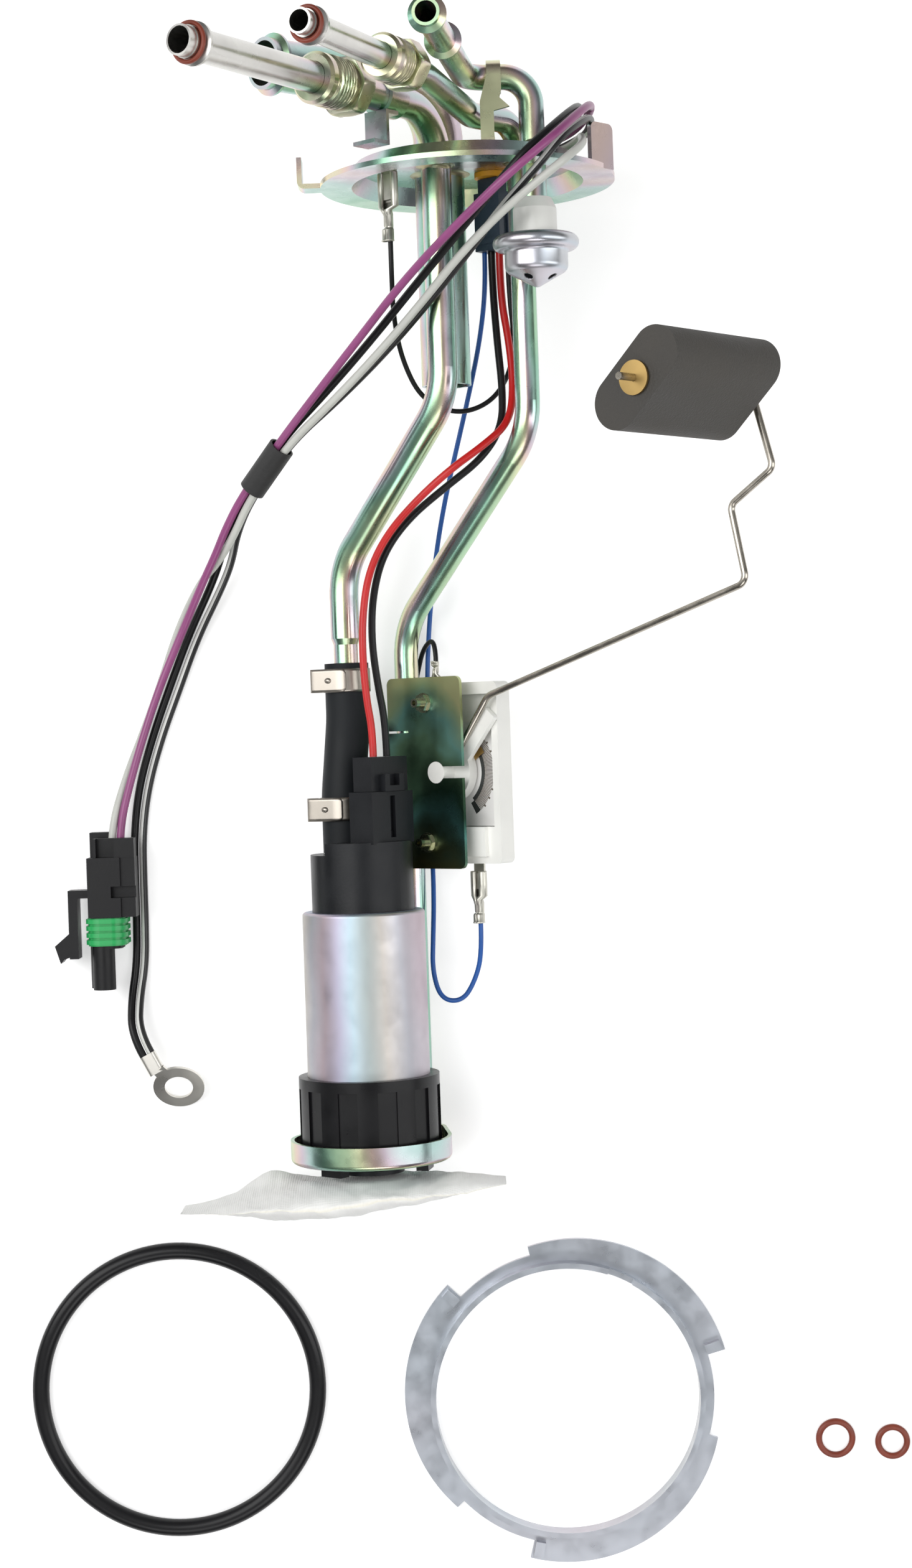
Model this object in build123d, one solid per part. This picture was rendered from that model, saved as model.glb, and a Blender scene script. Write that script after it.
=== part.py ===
from build123d import *

import os
from math import cos, radians, sin, tan

os.makedirs("parts", exist_ok=True)

# Millimetres. The module lies on a table: +Y runs along it towards its pipe fittings, +Z is up.
# The origin is the centre of the tank flange, on the upper face of its rim.

# Tank flange, a stamped top hat
FLANGE_R = 46.8
SHEET = 1.6
PLATEAU_R = 35.5
PLATEAU_FOOT_R = 38.4
PLATEAU_H = 5.4
TABLE_Z = -FLANGE_R
BRAZE_GAP = 0.05
HOOK_REACH = 7.2
HOOK_H = 10.0
HOOK_W = 8.0
TAB_W = 10.0
TAB_H = 12.5
TAB_ANGLE = 25.0

# The front of the module faces up and to the left, at this angle from the vertical
FRONT_ANGLE = 41.0
FRONT = Vector(-sin(radians(FRONT_ANGLE)), 0, cos(radians(FRONT_ANGLE)))
ACROSS = Vector(cos(radians(FRONT_ANGLE)), 0, sin(radians(FRONT_ANGLE)))

# Pipes: outside diameters, walls and the routes of their centre lines
SUPPLY_D = 9.53
RETURN_D = 7.94
VENT_D = 7.94
DROP_D = 15.9
PIPE_WALL = 0.9
DROP_WALL = 1.1
STRUT_X = -25.4
CRADLE_TAIL_R = 8.0
STRUT_Z = TABLE_Z + CRADLE_TAIL_R
SUPPLY_TIP = (-80.5, 21.2, 106.7)
SUPPLY_X = -9.8
SUPPLY_Z = 5.0
SUPPLY_Y = 21.2
SUPPLY_LOW_X = -44.8
HOSE_Z = -26.0
SUPPLY_BENDS = [15.0, 24.0, 24.0]
SUPPLY_SWAGE_Y = -143.5
SUPPLY_END_Y = -166.0
NECK_D = 7.94
DROP_TIP = (-61.5, 31.0, 35.5)
DROP_X = -8.8
DROP_Y = 31.0
DROP_Z = -9.5
DROP_BEND = 17.0
DROP_END_Y = -64.0
RETURN_TIP = (-46.0, 21.7, 121.0)
RETURN_KNEE = (-12.5, 21.0, 56.0)
RETURN_DIP = (1.6, 15.8, 22.0)
RETURN_X = 16.6
RETURN_Y = 17.0
RETURN_Z = 4.5
RETURN_UPPER_Y = -81.5
RETURN_LOWER_Y = -140.0
RETURN_BENDS = [14.0, 13.0, 9.5, 24.0, 24.0]
VENT_TIP = (-11.2, 27.1, 105.0)
VENT_X = 20.3
VENT_Y = 27.1
VENT_Z = 23.0
VENT_KNEE_X = 0.3
VENT_BENDS = [7.5, 9.0]
VENT_SADDLE_X = 8.9
BEAD_PROUD = 1.6
BEAD_W = 2.6

# Male tube nuts and the rings on the pipe noses
SUPPLY_NUT_AT = 61.0
RETURN_NUT_AT = 46.0
SUPPLY_NUT_D = 16.0
SUPPLY_NUT_HEX = 17.0
SUPPLY_NUT_L = 20.0
RETURN_NUT_D = 14.0
RETURN_NUT_HEX = 14.3
RETURN_NUT_L = 17.5
NUT_HEX_L = 6.0
NUT_CORNER_SHARE = 0.555
NUT_LEAD_L = 3.0
NUT_FIT = 0.08
NOSE_L = 3.0
NOSE_SIZED = 0.3
RING_SECTION = 2.6
RING_FIT = 0.05
SPARE_SECTION = 2.1
SPARE_STRETCH = 0.95

# Pump, standing in its cradle in line with the flange's axis
CAN_R = 19.9
CAN_TO_STRUT = 1.13
PUMP_AXIS_TO_STRUT = CAN_R + CAN_TO_STRUT + RETURN_D / 2
PUMP = Vector(STRUT_X, 0, STRUT_Z) + FRONT * PUMP_AXIS_TO_STRUT
CAP_TOP_Y = -209.8
CAP_STEP_Y = -213.6
CAP_R = 16.6
CAP_SPIGOT_L = 6.0
CAN_TOP_Y = -232.2
CAN_WALL = 1.2
CAN_BOTTOM_Y = -304.5
CAN_SHOULDER = 3.2
OUTLET_ACROSS = -8.0
OUTLET_FRONT = -1.0
PLUG_ACROSS = 9.5
PLUG_W = 10.0
PLUG_L = 19.5
PLUG_SPLIT_Y = -193.6
PLUG_TOP_Y = -182.4
PLUG_WALL = 1.5
PLUG_FLOOR = 3.5
PLUG_FIT = 0.15
PLUG_SLOT_W = 2.4
PLUG_SLOT_L = 13.4
LATCH_W = 9.0
LATCH_H = 5.4
LATCH_SHEET = 2.2
SHAFT_R = 2.0
ARMATURE_R = 11.4
ARMATURE_BELOW_CAN_TOP = 13.8
ARMATURE_TOP_Y = CAN_TOP_Y - ARMATURE_BELOW_CAN_TOP
ARMATURE_L = 26.0
COMMUTATOR_R = 6.2
COMMUTATOR_L = 6.5
BRUSH_L = 6.0
BRUSH_W = 4.0
BRUSH_H = 7.0
BRUSH_SEAT = 5.0
MAGNET_IN_R = 12.0
MAGNET_L = 32.0
MAGNET_GAP = 9.0
MAGNET_GAP_FROM = 6.0
CHAMBER_L = 5.0
IMPELLER_R = 15.0
IMPELLER_L = 3.6
IMPELLER_VANES = 24
BASE_L = 7.0
BASE_ABOVE_CAN_END = 4.25
RUN_GAP = 0.3
SHAFT_FIT = 0.05
INLET_R = 6.0
INLET_L = 9.0
FIT = 0.05
BASE_TOP_Y = CAN_BOTTOM_Y + BASE_ABOVE_CAN_END + BASE_L
CHAMBER_TOP_Y = BASE_TOP_Y + FIT + 2 * RUN_GAP + IMPELLER_L + CHAMBER_L

# Isolator and cradle
ISOLATOR_WALL = 3.0
ISOLATOR_R = CAN_R + ISOLATOR_WALL
ISOLATOR_TOP_Y = -285.5
ISOLATOR_FLUTES = 11
CRADLE_SHEET = 1.2
CRADLE_ROOM = 2.1
CRADLE_R = ISOLATOR_R + CRADLE_ROOM + CRADLE_SHEET
CRADLE_FLOOR_Y = -312.1
CRADLE_RIM_H = 6.2
CRADLE_HOLE_R = 13.0
FOOT_L = 8.5
FOOT_RADIAL = 4.0
FOOT_AT_R = 17.5
FOOT_BELOW = 3.2

# Strainer, a woven bag on a moulded neck
NECK_R = 7.4
SOCK_LEFT = (-104.0, -327.5)
SOCK_RIGHT = (1.5, -321.5)
SOCK_TOP = (-46.0, -317.2)
SOCK_BOTTOM = (-53.0, -333.8)
SOCK_HALF_DEPTH = 26.0
SOCK_BLUNT = 9.0

# Hose and its clamps
HOSE_D = 14.4
HOSE_BORE = 8.04
HOSE_TOP_Y = -151.6
HOSE_END_Y = -213.3
HOSE_STRAIGHT = 18.5
HOSE_BEND = 60.0
NIPPLE_L = 15.0
CLAMP_W = 7.6
CLAMP_SHEET = 0.7
CLAMP_FROM_END = 5.6
CLAMP_FROM_LOW_END = 10.4
CLAMP_TAIL = 9.2
BUCKLE_REACH = 3.4
BUCKLE_SHEET = 1.2

# Fuel level sender
PLATE_SHEET = 1.2
PLATE_LEFT = 20.4
PLATE_RIGHT = 11.4
PLATE_TOP = 31.3
PLATE_BOTTOM = 31.5
PLATE_CORNER = 2.2
STRUT_ACROSS = -16.0
KEYHOLE_Y = -188.3
KEYHOLE_R = 3.7
SLOT_W = 3.9
CARRIER_BOSS_R = 3.55
SCREW_ACROSS = -4.1
SCREW_UP = 22.9
SCREW_D = 3.0
SCREW_HEAD_R = 2.9
SCREW_PROUD = 5.0
BODY_LEFT = -9.5
BODY_RIGHT = 20.5
BODY_TOP = 29.2
BODY_BOTTOM = -30.2
BODY_BACK = -14.2
BODY_RIM = -7.6
BODY_WALL = 2.6
UPPER_TERMINAL = (-4.8, -7.4)
LOWER_TERMINAL = (8.7, -9.8)
UPPER_TERMINAL_REACH = 7.2
LOWER_TERMINAL_REACH = 19.6
CARD_LEFT = -1.0
CARD_RIGHT = 17.4
CARD_BOTTOM = -18.0
CARD_TOP = 16.2
CARD_ROOM = 0.2
CARD_FACE = -10.0
CARD_T = 1.0
ARM_DEPTH = -4.2
ARM_WIRE_D = 2.2
CARRIER_R = 10.0
HINGE_PIN_R = 2.2
HINGE_FIT = 0.05
ARM_ROUTE = [(3.2, 2.6), (19.8, 24.4), (122.8, 54.8), (117.9, 78.2), (133.8, 88.2)]
ARM_BENDS = [6.0, 3.4, 3.0, 3.0, 3.4]

# Float
FLOAT_AT = (127.1, 111.4)
FLOAT_BACK = 2.0
FLOAT_L = 51.0
FLOAT_R = 7.9
FLOAT_LOBES = 18.8
FLOAT_LEAN = 42.5
FLOAT_FIT = 0.08
WASHER_D = 10.0
WASHER_T = 0.8

# Vent valve
VALVE_TOP_Y = -10.9
VALVE_COLLAR_R = 6.8
VALVE_COLLAR_L = 11.4
VALVE_BRIM_R = 13.4
VALVE_BRIM_L = 4.6
VALVE_BODY_R = 9.8
VALVE_BODY_L = 6.2
VALVE_CONE_L = 5.2
VALVE_SHEET = 0.7
VALVE_TRAVEL = 1.8

# Wiring through the flange
SEAL_X = 8.0
SEAL_Z = -9.0
SEAL_R = 5.6
SOCKET_W = 10.4
SOCKET_T = 6.4
SOCKET_TOP_Y = -2.6
SOCKET_BOTTOM_Y = -21.2
GROUND_X = -24.9
GROUND_Z = 10.0
HARNESS_D = 2.6
LEAD_D = 2.4
THIN_D = 1.6

# Loose pieces of the kit, flat on the table
SEAL_RING_R = 49.0
SEAL_RING_SECTION = 5.6
SEAL_RING_AT = (-109.6, -391.5)
LOCK_IN_R = 44.0
LOCK_BAND_R = 49.0
LOCK_WING_R = 55.0
LOCK_SHEET = 1.8
LOCK_NOTCH_W = 9.0
LOCK_NOTCH_H = 2.0
LOCK_NOTCH_ANGLE = 65.0
LOCK_COLLAR_H = 5.2
LOCK_AT = (19.9, -399.0)
LOCK_WINGS = 3
SPARE_BIG_AT = (109.0, -415.9)
SPARE_SMALL_AT = (128.0, -417.7)


def direction(a, b):
    return (Vector(*b) - Vector(*a)).normalized()


def stand(shape, x, y, z):
    """Turns a piece that was drawn up +Z so that it runs along +Y, with its foot at a point."""
    return Plane(origin=(x, y, z), x_dir=(1, 0, 0), z_dir=(0, 1, 0)).location * shape


def facing(shape, x, y, z):
    """Stands a piece up along +Y with its own X across the module and its own -Y to the front."""
    return Plane(origin=(x, y, z), x_dir=ACROSS, z_dir=(0, 1, 0)).location * shape


def along(shape, origin, axis):
    """Places a piece that was drawn up +Z with its foot at a point and its axis along a direction."""
    return Plane(origin=origin, z_dir=axis).location * shape


def lathe(points):
    """Turns a closed outline of (radius, height) points about +Z."""
    return revolve(make_face(Plane.XZ * Polyline(*points, close=True)), Axis.Z)


def pipe(points, bends, outer, inner=0.0):
    """A pipe along straight runs joined by tangent arcs."""
    path = FilletPolyline(*points, radius=bends)
    section = Circle(outer / 2)
    if inner:
        section = section - Circle(inner / 2)
    return sweep(Plane(origin=path @ 0, z_dir=path % 0) * section, path=path)


def bar(radius, length):
    return Cylinder(radius, length, align=(Align.CENTER, Align.CENTER, Align.MIN))


def block(w, d, h):
    return Box(w, d, h, align=(Align.CENTER, Align.CENTER, Align.MIN))


def save(name, shape):
    export_step(shape, f"parts/{name}.step")


# Tank flange: a drawn top hat with holes for its pipes, a hook at one side and a tab at the other


def tank_flange():
    hat = lathe([
        (0, PLATEAU_H - SHEET), (PLATEAU_R - SHEET, PLATEAU_H - SHEET), (PLATEAU_FOOT_R - SHEET, -SHEET),
        (FLANGE_R, -SHEET), (FLANGE_R, 0), (PLATEAU_FOOT_R, 0), (PLATEAU_R, PLATEAU_H), (0, PLATEAU_H),
    ])
    hat = stand(hat, 0, 0, 0)
    low = -3 * SHEET
    for x, z, r in (
        (SUPPLY_X, SUPPLY_Z, SUPPLY_D / 2 + BRAZE_GAP),
        (DROP_X, DROP_Z, DROP_D / 2 + BRAZE_GAP),
        (RETURN_X, RETURN_Z, RETURN_D / 2 + BRAZE_GAP),
        (VENT_X, VENT_Z, VENT_D / 2 + BRAZE_GAP),
        (SEAL_X, SEAL_Z, SEAL_R - 1.2 + FIT),
    ):
        hat -= stand(bar(r, PLATEAU_H + 6 * SHEET), x, low, z)
    hook = Pos(-FLANGE_R - HOOK_REACH / 2 + 1, -SHEET / 2, 0) * Box(HOOK_REACH + 2, SHEET, HOOK_W)
    hook += Pos(-FLANGE_R - HOOK_REACH + SHEET / 2, HOOK_H / 2 - SHEET, 0) * Box(SHEET, HOOK_H, HOOK_W)
    knee = hook.edges().filter_by(Axis.Z).group_by(Axis.Y)[0].sort_by(Axis.X)[0]
    hook = fillet(knee, 2.4)
    turn = radians(TAB_ANGLE)
    out = Vector(cos(turn), 0, sin(turn))
    root = out * (FLANGE_R - SHEET)
    leg = Plane(origin=root + Vector(0, -SHEET, 0), x_dir=(0.7, 0, 0.7), z_dir=(0, 1, 0))
    tab = leg.location * (Pos(SHEET / 2, 0, 0) * block(SHEET, TAB_W, TAB_H + SHEET))
    tab = fillet(tab.edges().filter_by(lambda e: abs(e.length - SHEET) < 0.01).sort_by(Axis.Y)[-2:], 2.0)
    web = leg.location * (Pos(-3.0, 0, 0) * block(6.2, TAB_W, SHEET))
    return hat + hook + tab + web


# Pipes


def bead(at, axis, pipe_d):
    """A rolled bead round a pipe, centred on a point."""
    r = pipe_d / 2
    profile = [
        (r - 0.3, -BEAD_W / 2), (r, -BEAD_W / 2), (r + BEAD_PROUD, -BEAD_W / 6),
        (r + BEAD_PROUD, BEAD_W / 6), (r, BEAD_W / 2), (r - 0.3, BEAD_W / 2),
    ]
    return along(lathe(profile), at, axis)


SUPPLY_ROUTE = [
    SUPPLY_TIP, (SUPPLY_X, SUPPLY_Y, SUPPLY_Z), (SUPPLY_X, -69.4, SUPPLY_Z),
    (SUPPLY_LOW_X, -120.2, HOSE_Z), (SUPPLY_LOW_X, SUPPLY_SWAGE_Y, HOSE_Z),
]
DROP_ROUTE = [DROP_TIP, (DROP_X, DROP_Y, DROP_Z), (DROP_X, DROP_END_Y, DROP_Z)]
RETURN_ROUTE = [
    RETURN_TIP, RETURN_KNEE, RETURN_DIP, (RETURN_X, RETURN_Y, RETURN_Z),
    (RETURN_X, RETURN_UPPER_Y, RETURN_Z),
    (STRUT_X, RETURN_LOWER_Y, STRUT_Z), (STRUT_X, CRADLE_FLOOR_Y, STRUT_Z),
]
VENT_ROUTE = [
    VENT_TIP, (VENT_KNEE_X, VENT_Y, VENT_Z), (VENT_X, VENT_Y, VENT_Z), (VENT_X, VALVE_TOP_Y - 6, VENT_Z),
]


def point_along(route, distance):
    """A point on the first straight run of a route, this far from its start."""
    return Vector(*route[0]) + direction(route[0], route[1]) * distance


def nose(tube, route, pipe_d):
    """Gives a pipe its coupling end: a nose sized down a little, then a seat for the ring, then a bead."""
    start = direction(route[0], route[1])
    sized = bar(pipe_d, NOSE_L) - bar(pipe_d / 2 - NOSE_SIZED, NOSE_L)
    tube -= along(sized, route[0], start)
    return tube + bead(point_along(route, NOSE_L + RING_SECTION + BEAD_W / 2 + 0.2), start, pipe_d)


def supply_tube():
    tube = pipe(SUPPLY_ROUTE, SUPPLY_BENDS, SUPPLY_D, SUPPLY_D - 2 * PIPE_WALL)
    taper = 2.0
    neck_r = NECK_D / 2
    low = SUPPLY_SWAGE_Y - SUPPLY_END_Y
    neck = lathe([
        (SUPPLY_D / 2 - PIPE_WALL, 0), (SUPPLY_D / 2, 0), (neck_r, taper), (neck_r, low),
        (neck_r - PIPE_WALL, low), (neck_r - PIPE_WALL, taper),
    ])
    tube += along(neck, (SUPPLY_LOW_X, SUPPLY_SWAGE_Y, HOSE_Z), (0, -1, 0))
    return nose(tube, SUPPLY_ROUTE, SUPPLY_D)


def drop_tube():
    tube = pipe(DROP_ROUTE, [DROP_BEND], DROP_D, DROP_D - 2 * DROP_WALL)
    return tube + bead(point_along(DROP_ROUTE, 3.5), direction(DROP_ROUTE[0], DROP_ROUTE[1]), DROP_D)


def return_tube():
    tube = pipe(RETURN_ROUTE, RETURN_BENDS, RETURN_D, RETURN_D - 2 * PIPE_WALL)
    return nose(tube, RETURN_ROUTE, RETURN_D)


def vent_tube():
    tube = pipe(VENT_ROUTE, VENT_BENDS, VENT_D, VENT_D - 2 * PIPE_WALL)
    start = direction(VENT_ROUTE[0], VENT_ROUTE[1])
    tube += bead(point_along(VENT_ROUTE, 3.2), start, VENT_D)
    return tube + bead(point_along(VENT_ROUTE, 34.0), start, VENT_D)


def nose_ring(route, pipe_d):
    """The fuel-proof ring behind the nose of a pipe."""
    section = RING_SECTION / 2
    ring = Torus(pipe_d / 2 + RING_FIT + section * 0.55, section * 0.55)
    return along(ring, point_along(route, NOSE_L + section), direction(route[0], route[1]))


def tube_nut(route, at, thread_d, hex_af, length, pipe_d):
    """A male nut that turns on its pipe, with a plain lead and a hexagon at the back."""
    bore = pipe_d / 2 + NUT_FIT
    body = bar(thread_d / 2, length - NUT_HEX_L + 0.5)
    body = chamfer(body.faces().sort_by(Axis.Z)[0].edges(), 1.0)
    corner = hex_af * NUT_CORNER_SHARE
    head = extrude(RegularPolygon(hex_af / 2, 6, major_radius=False), NUT_HEX_L)
    head &= lathe([(0, 0), (hex_af / 2, 0), (corner, 1.2), (corner, NUT_HEX_L - 1.2),
                   (hex_af / 2, NUT_HEX_L), (0, NUT_HEX_L)])
    nut = body + Pos(0, 0, length - NUT_HEX_L) * head - bar(bore, length)
    groove = bar(thread_d / 2 + 1, 1.2) - bar(thread_d / 2 - 1.0, 1.2)
    nut -= Pos(0, 0, NUT_LEAD_L) * groove
    return along(nut, point_along(route, at), direction(route[0], route[1]))


# Brackets that tie the pipes to the flange


def saddle(at, axis, pipe_d, width, sheet):
    """A strap bent round a pipe, open at one side."""
    inner = pipe_d / 2 + FIT
    return along(Pos(0, 0, -width / 2) * (bar(inner + sheet, width) - bar(inner, width)), at, axis)


def left_tube_bracket():
    sheet = 1.2
    at = point_along(SUPPLY_ROUTE, 98.0)
    strap = saddle(at, direction(SUPPLY_ROUTE[0], SUPPLY_ROUTE[1]), SUPPLY_D, 9.0, sheet)
    reach = SUPPLY_D / 2 + FIT
    top = at.Y - reach
    leg = Plane(origin=(at.X, PLATEAU_H + FIT, at.Z), x_dir=ACROSS, z_dir=(0, 1, 0)).location
    foot = leg * (Pos(0, -4.4, 0) * block(9.0, sheet, top - PLATEAU_H))
    shelf = leg * (Pos(0, -2.2, top - PLATEAU_H - sheet - FIT) * block(9.0, 5.6, sheet))
    sole = leg * (Pos(0, -7.2, 0) * block(9.0, 6.8, sheet))
    return strap + foot + shelf + sole


def right_tube_bracket():
    """A strap over the vent pipe whose pressed plate runs to a pointed tail and down to one foot."""
    sheet = 1.2
    width = 4.4
    strap = saddle(Vector(VENT_SADDLE_X, VENT_Y, VENT_Z), (1, 0, 0), VENT_D, width, sheet)
    front = VENT_D / 2 + FIT + sheet
    floor = PLATEAU_H + FIT
    plate = Polyline(
        (VENT_SADDLE_X - width / 2, VENT_Y), (VENT_SADDLE_X - 4.5, VENT_Y - 8.4),
        (VENT_SADDLE_X - 4.5, floor), (VENT_SADDLE_X - 0.3, floor), (VENT_SADDLE_X - 0.3, VENT_Y - 11.4),
        (VENT_SADDLE_X + 4.6, VENT_Y - 10.2), (VENT_SADDLE_X + 1.6, VENT_Y - 7.4),
        (VENT_SADDLE_X + width / 2, VENT_Y - 5.0), (VENT_SADDLE_X + width / 2, VENT_Y), close=True,
    )
    plate = Pos(0, 0, VENT_Z + front - sheet) * extrude(make_face(plate), sheet)
    sole = Box(4.2, sheet, 5.6)
    sole = Pos(VENT_SADDLE_X - 2.4, floor + sheet / 2, VENT_Z + front - sheet / 2 + 2.2) * sole
    return strap + plate + sole


# Vent valve


def vent_valve_collar():
    top = 3.4
    bore = VENT_D / 2 + FIT
    profile = [
        (bore, 0), (VALVE_COLLAR_R, 0), (VALVE_COLLAR_R, VALVE_COLLAR_L - top),
        (bore + 1.3, VALVE_COLLAR_L), (bore, VALVE_COLLAR_L),
    ]
    return stand(lathe(profile), VENT_X, VALVE_TOP_Y - VALVE_COLLAR_L, VENT_Z)


VALVE_BRIM_TOP_Y = VALVE_TOP_Y - VALVE_COLLAR_L - FIT


def vent_valve_can():
    t = VALVE_SHEET
    brim = VALVE_BRIM_L
    body = brim + VALVE_BODY_L
    tip = body + VALVE_CONE_L
    hole = VENT_D / 2 - 1.0
    shell = lathe([
        (hole, 0), (VALVE_BRIM_R - 1.5, 0), (VALVE_BRIM_R, 1.5), (VALVE_BRIM_R, brim - 1.0),
        (VALVE_BRIM_R - 1.5, brim), (VALVE_BODY_R, brim + 0.6), (VALVE_BODY_R, body), (1.2, tip), (0, tip),
        (0, tip - t * 1.3), (0.8, tip - t * 1.3), (VALVE_BODY_R - t, body - 0.3),
        (VALVE_BODY_R - t, brim - t), (VALVE_BRIM_R - t, brim - t - 0.6), (VALVE_BRIM_R - t, 1.5),
        (VALVE_BRIM_R - 1.5 - t, t), (hole, t),
    ])
    for turn in range(4):
        port = Pos((VALVE_BODY_R + 1.2) / 2, 0, body - 1) * bar(1.3, VALVE_CONE_L + 3)
        shell -= Rot(0, 0, 90 * turn + 40) * port
    return along(shell, (VENT_X, VALVE_BRIM_TOP_Y, VENT_Z), (0, -1, 0))


def vent_valve_float():
    r = VALVE_BODY_R - VALVE_SHEET - RUN_GAP
    height = VALVE_BODY_L + VALVE_BRIM_L - VALVE_SHEET * 2 - VALVE_TRAVEL - RUN_GAP * 2
    body = bar(r, height) - Pos(0, 0, -0.1) * bar(r - 1.6, height - 1.2)
    start = VALVE_BRIM_TOP_Y - VALVE_SHEET - RUN_GAP - VALVE_TRAVEL - height
    return stand(body, VENT_X, start, VENT_Z)


# Wiring fittings on the flange


def feedthrough_seal():
    neck = SEAL_R - 1.2
    rim = PLATEAU_H + FIT
    under = PLATEAU_H - SHEET - FIT
    seal = stand(bar(SEAL_R, 6.4), SEAL_X, rim, SEAL_Z)
    seal += stand(bar(neck, rim - under), SEAL_X, under, SEAL_Z)
    seal += stand(bar(SEAL_R, 1.6), SEAL_X, under - 1.6, SEAL_Z)
    return chamfer(seal.faces().sort_by(Axis.Y)[-1].edges(), 1.0)


def feedthrough_connector():
    height = SOCKET_TOP_Y - SOCKET_BOTTOM_Y
    body = block(SOCKET_W, SOCKET_T, height)
    body += Pos(0, 0, height) * block(SOCKET_W - 2.4, SOCKET_T - 1.6, PLATEAU_H - SHEET - SOCKET_TOP_Y - 1.9)
    body -= Pos(SOCKET_W / 2, 0, 3) * block(1.6, 2.2, height - 7)
    body += Pos(0, 0, 2.0) * block(SOCKET_W + 1.0, SOCKET_T + 0.8, 1.6)
    return facing(body, SEAL_X, SOCKET_BOTTOM_Y, SEAL_Z)


def crimp_terminal(width, blade, box, barrel, barrel_r):
    """A push-on terminal drawn up +Z: a barrel at the foot, the wings of its box and a blade at the top."""
    piece = bar(barrel_r, barrel) - bar(barrel_r - 0.55, 1.4)
    piece += Pos(0, 0, barrel) * block(width * 0.45, 1.0, 2.0)
    shell = block(width, 2.4, box) - block(width - 1.2, 1.2, box)
    shell += Pos(0, 0.75, 0) * block(width, 0.9, box)
    piece += Pos(0, 0, barrel + 1.8) * shell
    return piece + Pos(0, 0, barrel + 1.8 + box - 0.5) * block(width * 0.8, 0.8, blade + 0.5)


def ground_terminal():
    barrel = 8.8
    box = 11.0
    foot = -20.3
    blade = PLATEAU_H - SHEET - FIT - (foot + barrel + 1.8 + box)
    return facing(crimp_terminal(7.8, blade, box, barrel, 1.9), GROUND_X, foot, GROUND_Z)


# Hose and clamps

OUTLET = PUMP + ACROSS * OUTLET_ACROSS + FRONT * OUTLET_FRONT
HOSE_ROUTE = [
    (SUPPLY_LOW_X, HOSE_TOP_Y, HOSE_Z), (SUPPLY_LOW_X, HOSE_TOP_Y - HOSE_STRAIGHT, HOSE_Z),
    (OUTLET.X, HOSE_END_Y + HOSE_STRAIGHT, OUTLET.Z), (OUTLET.X, HOSE_END_Y, OUTLET.Z),
]


def fuel_hose():
    return pipe(HOSE_ROUTE, [HOSE_BEND, HOSE_BEND], HOSE_D, HOSE_BORE)


def hose_clamps():
    inner = HOSE_D / 2 + FIT
    outer = inner + CLAMP_SHEET
    band = bar(outer, CLAMP_W) - bar(inner, CLAMP_W)
    buckle = block(BUCKLE_REACH + CLAMP_TAIL, BUCKLE_SHEET, CLAMP_W)
    buckle = Pos((BUCKLE_REACH - CLAMP_TAIL) / 2, -outer - 0.2, 0) * buckle
    buckle = buckle - bar(inner, CLAMP_W)
    clamp = Rot(0, 0, -25) * (band + buckle)
    upper = stand(clamp, SUPPLY_LOW_X, HOSE_TOP_Y - CLAMP_FROM_END - CLAMP_W / 2, HOSE_Z)
    lower = stand(clamp, OUTLET.X, HOSE_END_Y + CLAMP_FROM_LOW_END, OUTLET.Z)
    return Compound([upper, lower])


# Pump: end cap, can, motor, impeller and base, one above the other on one axis


def on_pump(shape, y):
    """Stands a piece on the pump's axis, with its foot at a height and its X across the module."""
    return facing(shape, PUMP.X, y, PUMP.Z)


def pump_end_cap():
    seat_y = CAN_TOP_Y - CAP_SPIGOT_L
    cap = bar(CAP_R, CAP_TOP_Y - seat_y)
    cap += bar(CAN_R - CAN_WALL - FIT, CAN_TOP_Y - CAN_WALL - 0.2 - seat_y)
    step_x = OUTLET_ACROSS + HOSE_D / 2 + RUN_GAP
    cap -= Pos(step_x - CAP_R, 0, CAP_STEP_Y - seat_y) * block(2 * CAP_R, 4 * CAP_R, 10)
    cap -= bar(COMMUTATOR_R + RUN_GAP + 0.3, 5.5)
    cap -= bar(SHAFT_R + SHAFT_FIT, 11.0)
    for side in (-1, 1):
        slot_l = BRUSH_L + 2 * RUN_GAP
        slot = block(slot_l, BRUSH_W + 2 * FIT, BRUSH_SEAT)
        cap -= Pos(side * (COMMUTATOR_R + slot_l / 2), 0, 0) * slot
    nipple = bar(HOSE_BORE / 2 - 0.04, NIPPLE_L)
    cap += Pos(OUTLET_ACROSS, -OUTLET_FRONT, CAP_STEP_Y - seat_y) * nipple
    cap -= Pos(OUTLET_ACROSS, -OUTLET_FRONT, CAP_STEP_Y - seat_y - 6) * bar(2.4, NIPPLE_L + 6)
    shroud = block(PLUG_W, PLUG_L, PLUG_SPLIT_Y - CAP_TOP_Y + 0.5)
    shroud -= Pos(0, 0, PLUG_FLOOR + 0.5) * block(PLUG_W - 2 * PLUG_WALL, PLUG_L - 2 * PLUG_WALL, 30)
    slot = block(2 * PLUG_WALL, PLUG_SLOT_W, PLUG_SLOT_L)
    shroud -= Pos(PLUG_W / 2, 0, PLUG_SPLIT_Y - CAP_TOP_Y - 0.9 - PLUG_SLOT_L) * slot
    cap += Pos(PLUG_ACROSS, 0, CAP_TOP_Y - seat_y - 0.5) * shroud
    return on_pump(cap, seat_y)


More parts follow.
